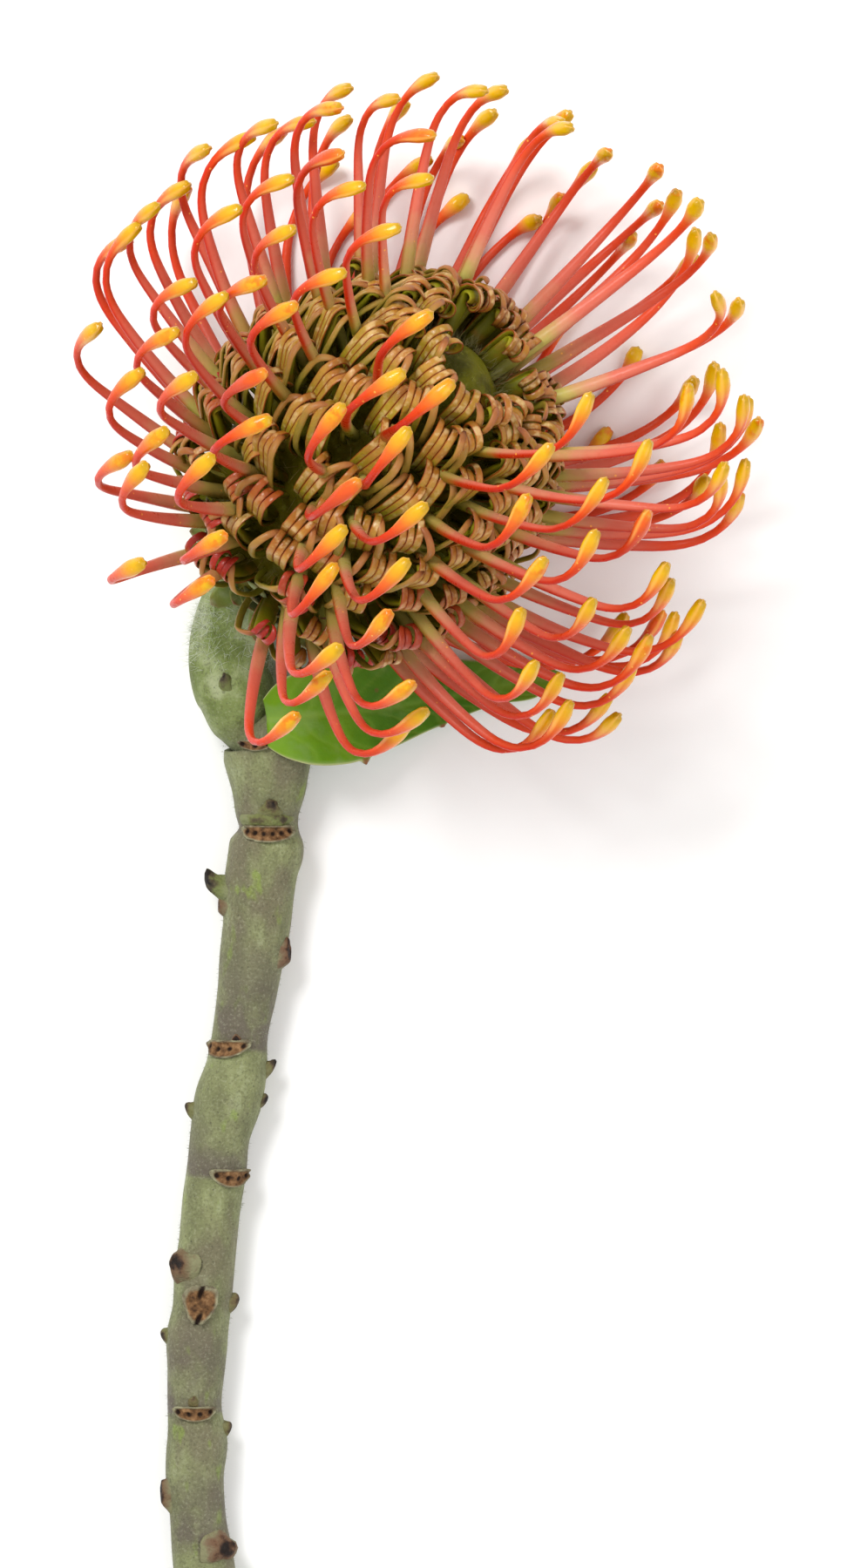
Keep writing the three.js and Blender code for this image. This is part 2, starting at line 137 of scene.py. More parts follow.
def sweep(course, side, section, widths, depths, bulge=0.0):
    """Section carried along a course; its second number points to the inner side."""
    way = unit(np.gradient(course, axis=0))
    across = unit(side - way * np.sum(way * side, axis=1, keepdims=True))
    inward = np.cross(way, across)
    rings = course[:, None] + section[..., :1] * widths[:, None, None] * across[:, None]
    rings = rings + section[..., 1:] * depths[:, None, None] * inward[:, None]
    ends = (course[0], course[-1] + way[-1] * bulge)
    return np.concatenate((rings.reshape(-1, 3), ends))


def per_ring(values, sides):
    """Ring values for every point of a sweep, with its two end points."""
    values = np.asarray(values, float)
    return np.concatenate((np.repeat(values, sides), (values[0], values[-1])))


def per_side(values, rings):
    """Values round the section for every point of a sweep, nought at its two end points."""
    return np.concatenate((np.tile(values, rings), (0, 0)))


def walked(headings, steps):
    """Ways gone ahead and aside, from nought, by steps with their headings."""
    return [np.concatenate(([0], np.cumsum(part(headings) * steps))) for part in (np.cos, np.sin)]


def new_object(name, data):
    thing = bpy.data.objects.new(name, data)
    bpy.context.scene.collection.objects.link(thing)
    return thing


class Piece:
    """Points, faces and values of one mesh, collected part by part."""

    def __init__(self, *value_names):
        self.points = []
        self.faces = {3: [], 4: []}
        self.values = {name: [] for name in value_names}
        self.count = 0

    def add(self, points, quads, triangles, **values):
        points = np.asarray(points, float).reshape(-1, 3)
        self.points.append(points)
        self.faces[4].append(np.asarray(quads, int).reshape(-1, 4) + self.count)
        self.faces[3].append(np.asarray(triangles, int).reshape(-1, 3) + self.count)
        for name, rows in self.values.items():
            rows.append(np.broadcast_to(np.asarray(values[name], float).reshape(-1), len(points)))
        self.count += len(points)

    def add_sweep(self, course, side, section, widths, depths, bulge, **values):
        """Section carried along a course and closed at both ends."""
        points = sweep(course, side, section, widths, depths, bulge)
        self.add(points, *ring_faces(len(course), section.shape[-2]), **values)

    def add_slab(self, top, bottom, **values):
        """Closed slab between two grids of points, top side up."""
        rows, columns = top.shape[:2]
        count = rows * columns
        index = np.arange(count).reshape(rows, columns)
        low = np.stack((index[:-1, :-1], index[:-1, 1:], index[1:, 1:], index[1:, :-1]), -1).reshape(-1, 4)
        rim = np.concatenate((index[0, :-1], index[:-1, -1], index[-1, :0:-1], index[:0:-1, 0]))
        after = np.roll(rim, -1)
        sides = np.stack((rim, rim + count, after + count, after), -1)
        quads = np.concatenate((low, low[:, ::-1] + count, sides))
        values = {name: np.broadcast_to(value, (2, rows, columns)) for name, value in values.items()}
        self.add(np.stack((top, bottom)), quads, [], **values)

    def make(self, name, material, node, slot):
        points = np.concatenate(self.points)
        points[:, 2] = np.maximum(points[:, 2], 0)
        points[:, 1] = np.maximum(points[:, 1], CUT_END)
        faces = [face for size in (4, 3) for rows in self.faces[size] for face in rows.tolist()]
        mesh = bpy.data.meshes.new(name)
        mesh.from_pydata(to_frame(points), [], faces)
        mesh.shade_smooth()
        for value_name, rows in self.values.items():
            layer = mesh.attributes.new(value_name, "FLOAT", "POINT")
            layer.data.foreach_set("value", np.concatenate(rows))
        mesh.materials.append(material)
        piece = new_object(name, mesh)
        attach(piece, BODY)
        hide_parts(node)


def out_way(turn):
    turn = np.asarray(turn)[..., None]
    return ACROSS * np.cos(turn) + UPWARD * np.sin(turn)


def side_way(turn):
    turn = np.asarray(turn)[..., None]
    return UPWARD * np.cos(turn) - ACROSS * np.sin(turn)


def head_point(along, out, turn):
    along = np.asarray(along, float)[..., None]
    out = np.asarray(out, float)[..., None]
    return HEAD_CENTRE + HEAD_AXIS * along + out_way(turn) * out


def body_way(half_length, radius, angle, turn):
    """Way out of an egg-shaped body round the head's axis."""
    away = math.atan2(math.sin(angle) / radius, math.cos(angle) / half_length)
    return HEAD_AXIS * math.cos(away) + out_way(turn) * math.sin(away)


def round_bare_tip(angles, turns):
    """Angle from the head's axis and turn round it of ways that are given round the bare tip."""
    angles = np.asarray(angles)[..., None]
    turns = np.asarray(turns)[..., None]
    across = unit(np.cross(BARE_TIP_WAY, UP))
    upward = np.cross(BARE_TIP_WAY, across)
    out = across * np.cos(turns) + upward * np.sin(turns)
    ways = BARE_TIP_WAY * np.cos(angles) + out * np.sin(angles)
    return np.arccos(ways @ HEAD_AXIS), np.arctan2(ways @ UPWARD, ways @ ACROSS)


def florets():
    """Angle from the head's axis and turn round it of each floret, in spiral order."""
    first = math.cos(math.radians(FIRST_FLORET_ANGLE))
    last = math.cos(math.radians(LAST_FLORET_ANGLE))
    index = np.arange(FLORET_COUNT)
    angles = np.arccos(first + (last - first) * (index + 0.5) / FLORET_COUNT)
    return zip(*round_bare_tip(angles, math.radians(GOLDEN_ANGLE) * index + SPIRAL_START))


# Colours of the light that spreads inside a surface: red goes deepest
INNER_LIGHT = (1.0, 0.55, 0.3)


def linear(text):
    """Colour written as in a picture, turned into the light that a shader reads."""
    parts = [int(text[place:place + 2], 16) / 255 for place in (1, 3, 5)]
    return [part / 12.92 if part <= 0.04045 else ((part + 0.055) / 1.055) ** 2.4 for part in parts] + [1]


class Finish:
    """A node material around one principled shader.

    soft gives the weight and the depth in metres of the light that spreads inside it. rough gives
    the size of the clouds in its roughness, the least and the most. grain gives the size and the
    detail of the noise that its bump follows, and the depth and strength of the bump.
    """

    def __init__(self, name, soft=None, rough=None, grain=None, **settings):
        self.material = bpy.data.materials.new(name)
        self.material.use_nodes = True
        self.tree = self.material.node_tree
        self.tree.nodes.clear()
        self.shader = self.node("BsdfPrincipled")
        self.node("OutputMaterial", Surface=self.shader.outputs["BSDF"])
        self.settle(**settings)
        if soft:
            weight, depth = soft
            self.settle(Subsurface_Weight=weight, Subsurface_Scale=depth, Subsurface_Radius=INNER_LIGHT)
        if rough:
            size, least, most = rough
            self.settle(Roughness=self.clouds(size, 0.3, 0.7, least, most))
        if grain:
            size, detail, depth, strength = grain
            self.bump(self.noise(size, detail), depth, strength)

    def feed(self, value, socket):
        """Puts a number, a colour, a value of the mesh by its name, or a node's output into a socket."""
        if isinstance(value, str) and not value.startswith("#"):
            node = self.node("Attribute")
            node.attribute_name = value
            value = node.outputs["Fac"]
        if hasattr(value, "is_linked"):
            self.tree.links.new(value, socket)
        else:
            socket.default_value = linear(value) if isinstance(value, str) else value

    def node(self, kind, **inputs):
        node = self.tree.nodes.new("ShaderNode" + kind)
        for name, value in inputs.items():
            self.feed(value, node.inputs[name.replace("_", " ")])
        return node

    def settle(self, **settings):
        """Feeds the shader's sockets, and gives the material."""
        for name, value in settings.items():
            self.feed(value, self.shader.inputs[name.replace("_", " ")])
        return self.material

    def noise(self, size, detail=3.0, roughness=0.5, stretch=(1, 1, 1)):
        """Cloudy noise with features of about a size in metres."""
        place = self.node("Mapping", Vector=self.node("TexCoord").outputs["Object"], Scale=stretch)
        node = self.node(
            "TexNoise", Vector=place.outputs["Vector"], Scale=1 / size, Detail=detail, Roughness=roughness,
        )
        return node.outputs["Fac"]

    def specks(self, size, reach):
        """One in small round specks on a grid of the given size, nought between them."""
        node = self.node("TexVoronoi", Vector=self.node("TexCoord").outputs["Object"], Scale=1 / size)
        return self.range(node.outputs["Distance"], reach, reach * 0.6)

    def range(self, value, low, high, bottom=0.0, top=1.0):
        node = self.node("MapRange", Value=value, From_Min=low, From_Max=high, To_Min=bottom, To_Max=top)
        node.interpolation_type = "SMOOTHSTEP"
        return node.outputs["Result"]

    def clouds(self, size, low, high, bottom=0.0, top=1.0, detail=3.0):
        return self.range(self.noise(size, detail), low, high, bottom, top)

    def wavered(self, name, size, low, high, amount):
        """A value of the mesh, moved up and down by clouds."""
        return self.work("ADD", name, self.clouds(size, low, high, -amount, amount))

    def ramp(self, value, *stops):
        node = self.node("ValToRGB", Fac=value)
        elements = node.color_ramp.elements
        while len(elements) < len(stops):
            elements.new(0.5)
        for element, (place, colour) in zip(elements, stops):
            element.position = place
            element.color = linear(colour)
        return node.outputs["Color"]

    def mix(self, share, below, above, kind="MIX"):
        node = self.node("MixRGB", Fac=share, Color1=below, Color2=above)
        node.blend_type = kind
        return node.outputs["Color"]

    def patches(self, below, above, share, size, low, high, detail=3.0):
        """A colour under clouds of another, which cover it up to a share."""
        return self.mix(self.clouds(size, low, high, 0.0, share, detail), below, above)

    def work(self, kind, first, second):
        node = self.node("Math")
        node.operation = kind
        self.feed(first, node.inputs[0])
        self.feed(second, node.inputs[1])
        return node.outputs["Value"]

    def times(self, first, second):
        return self.work("MULTIPLY", first, second)

    def bump(self, height, depth, strength):
        node = self.node("Bump", Height=height, Distance=depth, Strength=strength)
        self.settle(Normal=node.outputs["Normal"])


def style_finish():
    """Yellow-green foot, pink inner and red outer face, orange neck, yellow pollen presenter with pale peach
    painted rim light on its sides.
    """
    look = Finish(
        "style", soft=(0.08, 0.0008), rough=(0.0015, 0.26, 0.4), grain=(0.0007, 2.0, 0.00012, 0.6),
        Specular_IOR_Level=0.14, Coat_Roughness=0.14,
    )
    root = look.wavered("root", 0.004, 0.2, 0.8, 0.06)
    outer = look.ramp(
        root,
        (0.0, "#5f6a1c"), (0.28, "#7c7820"), (0.36, "#a4601f"), (0.45, "#ba2e08"), (0.8, "#c02605"),
        (1.0, "#cb2a07"),
    )
    inner = look.ramp(
        root,
        (0.0, "#868c34"), (0.32, "#b0a456"), (0.46, "#c78a68"), (0.6, "#cd6c58"), (0.85, "#cc5c46"),
        (1.0, "#d04a28"),
    )
    body = look.mix(look.range("face", -0.35, 0.55), outer, inner)
    redder = look.mix(1.0, body, "#e58a6a", "MULTIPLY")
    body = look.mix(look.range("seed", 0.0, 1.0, 0.0, 0.3), body, redder)
    front = look.ramp(
        "tip",
        (0.0, "#b48c06"), (0.05, "#d2a602"), (0.22, "#e4b604"), (0.3, "#eeac34"), (0.41, "#ec9046"),
        (0.54, "#e2602a"), (0.68, "#db4718"), (0.95, "#cf300d"),
    )
    back = look.ramp(
        "tip",
        (0.0, "#b88e05"), (0.1, "#d6a40a"), (0.24, "#de9218"), (0.38, "#de661c"), (0.56, "#d24012"),
        (0.9, "#c42a0a"),
    )
    club = look.mix(look.range("face", -0.5, 0.2), back, front)
    ruddy = look.ramp("tip", (0.0, "#c9831a"), (0.12, "#d8541a"), (0.5, "#c23a16"), (0.9, "#b82c10"))
    club = look.mix(look.range("seed", 0.88, 0.94), club, ruddy)
    ripe = look.times(look.range("seed", 0.5, 0.75, 0.0, 0.7), look.range("tip", 0.36, 0.14))
    club = look.mix(look.times(ripe, look.clouds(0.0018, 0.42, 0.62)), club, "#da5a0a")
    # Painted rim light: the presenter's sides, between its inner and outer face, turn pale peach towards the
    # tip.
    side = look.range(look.work("ABSOLUTE", "face", 0.0), 0.45, 0.0)
    club = look.mix(look.times(side, look.range("tip", 0.6, 0.3, 0.0, 0.55)), club, "#f0b458")
    whole = look.mix(look.range("tip", 0.62, 1.0), club, body)
    flecks = look.times(look.specks(0.0013, 0.16), look.clouds(0.007, 0.52, 0.6, 0.0, 0.8))
    look.settle(Coat_Weight=look.range("tip", 0.7, 0.3, 0.02, 0.45))
    return look.settle(Base_Color=look.mix(flecks, whole, "#f2b04a"))


def band_finish():
    """Tan ribs with red-brown edges and pale cream clouds of painted highlight, an olive inner face, a green
    foot and dark curled ends.
    """
    look = Finish(
        "perianth_band", soft=(0.08, 0.0008), rough=(0.001, 0.3, 0.5), grain=(0.0006, 4.0, 0.0002, 0.8),
        Coat_Weight=0.3, Coat_Roughness=0.18, Specular_IOR_Level=0.2,
    )
    along = look.wavered("along", 0.003, 0.25, 0.75, 0.05)
    ribs = look.ramp(
        along,
        (0.0, "#4c560c"), (0.13, "#757c14"), (0.26, "#92881a"), (0.35, "#a98c2c"), (0.48, "#b88b3a"),
        (0.58, "#a6691e"), (0.75, "#8a5a16"), (1.0, "#5c300e"),
    )
    ribs = look.mix(look.range("seed", 0.3, 1.0, 0.0, 0.4), ribs, "#8a7818")
    ribs = look.patches(ribs, "#a86438", 0.45, 0.0045, 0.48, 0.68)
    # Pale cream clouds on the ribs are a painted highlight.
    ribs = look.patches(ribs, "#d9bd84", 0.6, 0.0016, 0.5, 0.68, 4.0)
    inner = look.ramp(
        along, (0.0, "#3c3a04"), (0.35, "#6a660a"), (0.7, "#928816"), (0.9, "#86641a"), (1.0, "#58290c"),
    )
    edge = look.ramp("along", (0.0, "#5c3c0c"), (0.3, "#9a481c"), (0.6, "#8f3f14"), (1.0, "#5a210a"))
    colour = look.mix("inner", ribs, inner)
    colour = look.mix(look.range("seam", 0.2, 0.8, 0.0, 0.9), colour, edge)
    return look.settle(Base_Color=look.mix("blush", colour, "#a52c1e"))


def strap_finish():
    """The free perianth strap: paler than the band, green at its foot, brown at its end."""
    look = Finish(
        "perianth_strap", soft=(0.08, 0.0008), rough=(0.001, 0.35, 0.52), grain=(0.0006, 3.0, 0.00015, 0.7),
        Coat_Weight=0.05, Coat_Roughness=0.3, Specular_IOR_Level=0.3,
    )
    colour = look.ramp(
        look.wavered("along", 0.003, 0.25, 0.75, 0.1),
        (0.0, "#465410"), (0.22, "#77751e"), (0.42, "#937c2c"), (0.62, "#a87a38"), (0.82, "#9c6230"),
        (1.0, "#5c2c10"),
    )
    colour = look.mix(look.range("seed", 0.2, 1.0, 0.0, 0.5), colour, "#a05c34")
    return look.settle(Base_Color=look.mix(look.times("inner", 0.7), colour, "#6d6a14"))


def tube_finish():
    """Green perianth tubes, yellower where they roll up inside the bands, brown at their ends."""
    look = Finish(
        "perianth_tube", soft=(0.12, 0.001), rough=(0.0015, 0.4, 0.55), grain=(0.0006, 3.0, 0.00012, 0.5),
        Specular_IOR_Level=0.18,
    )
    colour = look.ramp(
        "along",
        (0.0, "#3a3406"), (0.3, "#5a560a"), (0.5, "#80800e"), (0.7, "#9c991c"), (0.9, "#9c8a20"),
        (1.0, "#7a4a16"),
    )
    return look.settle(Base_Color=look.patches(colour, "#8a5a20", 0.5, 0.0025, 0.45, 0.7))


def receptacle_finish():
    """Green bare tip with darker patches, and olive brown between the florets."""
    look = Finish(
        "receptacle", soft=(0.12, 0.001), rough=(0.002, 0.35, 0.5), grain=(0.0009, 4.0, 0.0004, 0.8),
    )
    colour = look.ramp("bare", (0.0, "#5a540c"), (0.5, "#4e4a08"), (1.0, "#5c5a08"))
    dusky = look.times("bare", look.clouds(0.006, 0.42, 0.62, 0.0, 0.75))
    colour = look.patches(look.mix(dusky, colour, "#33300a"), "#7c7c30", 0.4, 0.0012, 0.55, 0.7, 4.0)
    return look.settle(Base_Color=colour, Specular_IOR_Level=look.range("bare", 0.3, 0.9, 0.05, 0.08))


def bract_finish():
    """Woolly grey-green bracts with brown points."""
    look = Finish(
        "bract", soft=(0.1, 0.001), rough=(0.002, 0.55, 0.75), grain=(0.0004, 3.0, 0.0001, 0.7),
        Sheen_Weight=0.15, Sheen_Roughness=0.5, Specular_IOR_Level=0.2,
    )
    colour = look.ramp("along", (0.0, "#7e8a52"), (0.55, "#7c8c44"), (0.85, "#767a38"), (1.0, "#6b4426"))
    return look.settle(Base_Color=look.patches(colour, "#9aa37c", 0.5, 0.002, 0.45, 0.7))


def hair_finish(name, root_colour, tip_colour):
    look = Finish(name, rough=(0.002, 0.5, 0.65), Specular_IOR_Level=0.3)
    colour = look.ramp("along", (0.0, root_colour), (1.0, tip_colour))
    return look.settle(Base_Color=look.patches(colour, root_colour, 0.4, 0.004, 0.4, 0.7))


def stem_finish():
    """Grey-green felted bark with grey-brown patches, bright green flecks and a fine grain."""
    look = Finish(
        "stem", rough=(0.002, 0.62, 0.8), Sheen_Weight=0.08, Sheen_Roughness=0.5, Specular_IOR_Level=0.2,
    )
    streaks = look.noise(0.0045, 5.0, 0.6, (1.3, 0.55, 1.3))
    colour = look.ramp(streaks, (0.28, "#5f6142"), (0.45, "#6e724d"), (0.58, "#7c8158"), (0.72, "#8e9470"))
    patches = look.range(look.noise(0.012, 3.0, 0.55, (1.2, 0.7, 1.2)), 0.48, 0.64, 0.0, 0.65)
    colour = look.mix(patches, colour, "#645a4b")
    fresh = look.range(look.noise(0.0036, 2.0, 0.5, (1.2, 0.6, 1.2)), 0.63, 0.72, 0.0, 0.45)
    colour = look.mix(fresh, colour, "#7c9430")
    neck = look.ramp(look.noise(0.005), (0.32, "#54671c"), (0.5, "#77874a"), (0.66, "#a0aa80"))
    colour = look.mix(look.times("neck", 0.75), colour, neck)
    dusk = look.times("dusk", look.clouds(0.006, 0.4, 0.58, 0.3, 0.85, 4.0))
    colour = look.mix(dusk, colour, "#584e48")
    grain = look.noise(0.00042, 3.0, 0.6)
    colour = look.mix(look.range(grain, 0.52, 0.68, 0.0, 0.5), colour, "#4c4b36")
    colour = look.mix(look.range(grain, 0.46, 0.32, 0.0, 0.22), colour, "#a9ab8e")
    colour = look.mix(look.times(look.specks(0.0014, 0.13), 0.5), colour, "#39372a")
    coarse = look.noise(0.0022, 3.0, 0.5, (1.3, 0.6, 1.3))
    look.bump(look.work("ADD", look.times(grain, 0.5), coarse), 0.0003, 1.0)
    wood = look.ramp(look.noise(0.0008, 4.0), (0.3, "#b09c72"), (0.7, "#cfc096"))
    return look.settle(Base_Color=look.mix("wood", colour, wood))


def scar_finish():
    """Corky brown leaf scars with pale lips and dark bundle dots."""
    look = Finish(
        "leaf_scar", rough=(0.001, 0.7, 0.9), grain=(0.0004, 4.0, 0.0003, 1.0), Specular_IOR_Level=0.15,
    )
    cork = look.ramp(look.noise(0.0009, 4.0), (0.3, "#3b291a"), (0.5, "#6a4c30"), (0.7, "#8d6c49"))
    lip = look.ramp(look.noise(0.0014, 4.0), (0.35, "#645a48"), (0.65, "#8f8d70"))
    return look.settle(Base_Color=look.mix("dots", look.mix("cork", lip, cork), "#1d110a"))


def bud_finish():
    """Buds and knobs: grey-green foot, brown and almost black tip."""
    look = Finish(
        "stem_bud", rough=(0.001, 0.6, 0.8), grain=(0.0005, 4.0, 0.0003, 1.0), Specular_IOR_Level=0.2,
    )
    along = look.wavered("along", 0.0015, 0.3, 0.7, 0.18)
    green = look.ramp(along, (0.2, "#767a56"), (0.6, "#686f40"), (0.8, "#4d4532"), (1.0, "#1d1815"))
    brown = look.ramp(
        along, (0.2, "#787657"), (0.45, "#6e5d47"), (0.7, "#664c38"), (0.85, "#3c281c"), (1.0, "#1c130e"),
    )
    return look.settle(Base_Color=look.mix("brown", green, brown))


def leaf_finish():
    """Bright green blade with pale veins and margin, brown specks and patches of grey bloom."""
    look = Finish(
        "leaf", soft=(0.06, 0.0006), rough=(0.003, 0.42, 0.58), grain=(0.0009, 4.0, 0.00015, 0.6),
        Specular_IOR_Level=0.16,
    )
    along = look.wavered("along", 0.009, 0.3, 0.7, 0.15)
    colour = look.ramp(along, (0.0, "#648a0e"), (0.35, "#4b7808"), (0.6, "#3a6606"), (1.0, "#587a14"))
    colour = look.patches(colour, "#6d8a48", 0.5, 0.006, 0.52, 0.66, 4.0)
    spots = look.times(look.specks(0.0042, 0.12), look.clouds(0.01, 0.5, 0.6, 0.0, 0.7))
    for share, above in (
        (look.times("vein", 0.4), "#84a03c"), ("margin", "#bdb98a"), ("callus", "#7a3f22"),
        (spots, "#6a5a26"), (look.times("under", 0.6), "#94ab77"),
    ):
        colour = look.mix(share, colour, above)
    return look.settle(Base_Color=colour)


# Styles: two florets of every seven carry none
STYLE_SEED = 2544
STYLE_CYCLE = 7
STYLE_GAPS = (2, 5)
STYLE_ROOT_LENGTH = 24
STYLE_ROOT_RADIUS = 18
STYLE_LENGTH = 38.1
STYLE_GROWTH = 0.09
STYLE_NEAR_GROWTH = -7.7
STYLE_FOOT_HEADING = 31
STYLE_FOOT_OPENING = 0.462
STYLE_TIP_HEADING = -19
STYLE_TIP_OPENING = 0.231
STYLE_ROOT_TILT = 4
STYLE_ASIDE = -1.9
STYLE_SWAY = 0.14
STYLE_STEPS = 48
STYLE_SIDES = 12
STYLE_DEPTH_SHARE = 0.87
PRESS_DEPTH = 3
# Width of a style by the distance from its tip
STYLE_WIDTHS = (
    (0.0, 0.8), (0.12, 1.4), (0.4, 1.75), (0.9, 2.0), (1.8, 2.42), (2.8, 2.56), (4.0, 2.36), (5.4, 1.92),
    (7.0, 1.48), (9.0, 1.24), (14.0, 1.3), (22.0, 1.7), (32.0, 2.2), (60.0, 2.4),
)
STYLE_TIP_RINGS = (0.0, 0.12, 0.35, 0.75, 1.3, 2.0, 2.8, 3.8, 5.0, 6.4, 8.0, 10.0, 12.5)
STYLE_BODY_RINGS = 24
# Four low corners at the tip, and the lengths over which the foot and the tip change colour
STYLE_RIM = 0.22
STYLE_CORNERS = 4
STYLE_FOOT_REACH = 32
STYLE_TIP_REACH = 12


def bend_share(part):
    """Share of the bend done along a style: a little all the way, most of it near the end."""
    return 0.28 * part + 0.72 * ease(0.556, 0.95, part)


def pressed(points, lift):
    """Course of a soft style, pressed up by what it lies on where it would sink through."""
    reach = points[:, :2] - LEAF_REST
    along = reach @ LEAF_WAY / (LEAF_LENGTH * 0.62)
    aside = (reach[:, 0] * LEAF_WAY[1] - reach[:, 1] * LEAF_WAY[0]) / (LEAF_HALF_WIDTH * 1.7)
    floor = LEAF_PILE * np.exp(-((along ** 2 + aside ** 2) ** 2)) + lift
    height = points[:, 2] - floor
    low = height < PRESS_DEPTH
    points[low, 2] = floor[low] + PRESS_DEPTH * np.exp((height[low] - PRESS_DEPTH) / PRESS_DEPTH)
    return points


def style_course(angle, turn, draw):
    degrees = math.degrees(angle)
    near_side = ACROSS[2] * math.cos(turn) + UPWARD[2] * math.sin(turn)
    foot = STYLE_FOOT_HEADING + STYLE_FOOT_OPENING * degrees - 2.7 * near_side + 4 * spread(draw)
    tip = STYLE_TIP_HEADING + 1.4 * near_side + STYLE_TIP_OPENING * (degrees - 90) + 14 * spread(draw)
    length = STYLE_LENGTH + STYLE_GROWTH * degrees + STYLE_NEAR_GROWTH * near_side + 2 * spread(draw)
    sway = STYLE_SWAY * spread(draw)
    part = np.linspace(0, 1, STYLE_STEPS + 1)
    headings = np.radians(foot + (tip - foot) * bend_share(part))[:-1]
    root = angle + math.radians(STYLE_ROOT_TILT)
    along, out = (steps * (length / STYLE_STEPS) for steps in walked(headings, 1))
    along = STYLE_ROOT_LENGTH * math.cos(root) + along
    out = STYLE_ROOT_RADIUS * math.sin(root) + out
    turns = turn + STYLE_ASIDE / out[0] * (1 - part / 2) + sway * part ** 2
    width = table_value(STYLE_WIDTHS, length * (1 - part))
    return pressed(head_point(along, out, turns), width / 2), length


def add_style(piece, angle, turn, course_draw, draw):
    """A style with its pollen presenter, its rings closest together at the tip."""
    course, length = style_course(angle, turn, course_draw)
    body = np.linspace(length, STYLE_TIP_RINGS[-1], STYLE_BODY_RINGS, endpoint=False)
    from_tip = np.concatenate((body, STYLE_TIP_RINGS[::-1]))
    place = (1 - from_tip / length) * STYLE_STEPS
    steps = np.arange(STYLE_STEPS + 1)
    rings = np.stack([np.interp(place, steps, numbers) for numbers in course.T], -1)
    half = table_value(STYLE_WIDTHS, from_tip) / 2 * (1 + 0.06 * spread(draw))
    section = circle(STYLE_SIDES)
    corners = np.cos(STYLE_CORNERS * 2 * np.pi * (np.arange(STYLE_SIDES) + 0.5) / STYLE_SIDES)
    rim = 1 + STYLE_RIM * ease(1.7, 0.4, from_tip)[:, None] * corners
    piece.add_sweep(
        rings, side_way(turn), section * rim[..., None], half, half * STYLE_DEPTH_SHARE, 0.35,
        root=np.clip(per_ring(length - from_tip, STYLE_SIDES) / STYLE_FOOT_REACH, 0, 1),
        tip=np.clip(per_ring(from_tip, STYLE_SIDES) / STYLE_TIP_REACH, 0, 1),
        face=per_side(section[:, 1], len(rings)),
        seed=draw.random(),
    )


# Curled perianths: the root of a floret, and the rings up to where it rolls
CURL_ROOT_LENGTH = 24
CURL_ROOT_RADIUS = 17.5
CURL_SUNK = 1.5
CURL_TWIST = -12
CURL_LIFT_RINGS = 8

# Band of three ribs
BAND_REACH = 13.8
BAND_START_LEAN = 8
BAND_LEAN = 57
BAND_LOOP_RADIUS = 2.0
BAND_LOOP_END = 1.0
BAND_LOOP_TURN = 205
BAND_ROLL_RINGS = 11
BAND_HALF_WIDTH = 1.85
BAND_ARCH = -0.25
BAND_THICKNESS = 0.3
# Shares of the band's width and thickness by the share of its length
BAND_WIDTHS = ((0, 0.66), (0.2, 0.8), (0.42, 1.0), (0.8, 0.88), (1, 0.4))
BAND_DEPTHS = ((0, 0.8), (0.3, 1.0), (0.9, 0.9), (1, 0.5))
HORN_SPREAD = 0.13
# Places across a rib, on its rounded outer face and then on its flat inner face
RIB_OUTER = (-1.0, -0.8, -0.35, 0.35, 0.8, 1.0)
RIB_PLACES = np.array((*RIB_OUTER, 0.6, -0.6))
RIB_INSIDE = np.arange(len(RIB_PLACES)) >= len(RIB_OUTER)
RIB_HEIGHT = 0.18

# Free strap
STRAP_REACH = 15.0
STRAP_START_LEAN = 4
STRAP_LEAN = 66
STRAP_LOOP_RADIUS = 2.4
STRAP_LOOP_TURN = 135
STRAP_ROLL_RINGS = 9
STRAP_SET_OUT = 0.9
STRAP_SIDES = 8
STRAP_HALF_WIDTH = 0.57
STRAP_DEPTH_SHARE = 0.55
STRAP_WIDTHS = ((0, 0.9), (0.3, 1.05), (0.6, 1.1), (0.9, 0.95), (1, 0.5))

# Tube, with its shape as share of its length, half width, half depth
TUBE_SHAPE = (
    (0.0, 1.2, 0.8), (0.2, 1.45, 0.95), (0.4, 1.45, 0.75), (0.55, 1.4, 0.4), (0.8, 1.4, 0.36),
    (0.95, 1.15, 0.34), (1.0, 0.6, 0.25),
)
TUBE_LOOP_RADIUS = 1.5
TUBE_LOOP_END = 1.0
TUBE_TURN_SHARE = 0.85
TUBE_ROLL_RINGS = 9
TUBE_SIDES = 10
TUBE_SET_IN = 1.15


def floret_frame(angle, turn, twist, lean):
    """Root of a floret, with its ways up, towards the bare tip and sideways."""
    up = unit(body_way(CUSHION_HALF_LENGTH, CUSHION_RADIUS, angle, turn) + side_way(turn) * lean)
    roll = unit(BARE_TIP_WAY - up * np.dot(BARE_TIP_WAY, up))
    side = np.cross(roll, up)
    turned_roll = roll * math.cos(twist) + side * math.sin(twist)
    turned_side = side * math.cos(twist) - roll * math.sin(twist)
    root = head_point(CURL_ROOT_LENGTH * math.cos(angle), CURL_ROOT_RADIUS * math.sin(angle), turn)
    return root, np.stack((up, turned_roll, turned_side))


def curl_course(reach, start_lean, lean, radius, end_radius, turn, steps):
    """Course in a floret's own plane: up from the root, leaning over, then rolled towards the bare tip."""
    radii = np.linspace(radius, end_radius, steps)
    rise = ease(0.12, 0.85, np.linspace(0, 1, CURL_LIFT_RINGS + 1))
    bends = np.concatenate((lean * np.diff(rise), np.full(steps, turn / steps)))
    lifts = np.full(CURL_LIFT_RINGS, reach / CURL_LIFT_RINGS)
    lengths = np.concatenate((lifts, radii * math.radians(turn) / steps))
    headings = np.radians(start_lean + np.cumsum(bends) - bends / 2)
    up, over = walked(headings, lengths)
    return np.stack((up - CURL_SUNK, over), -1)


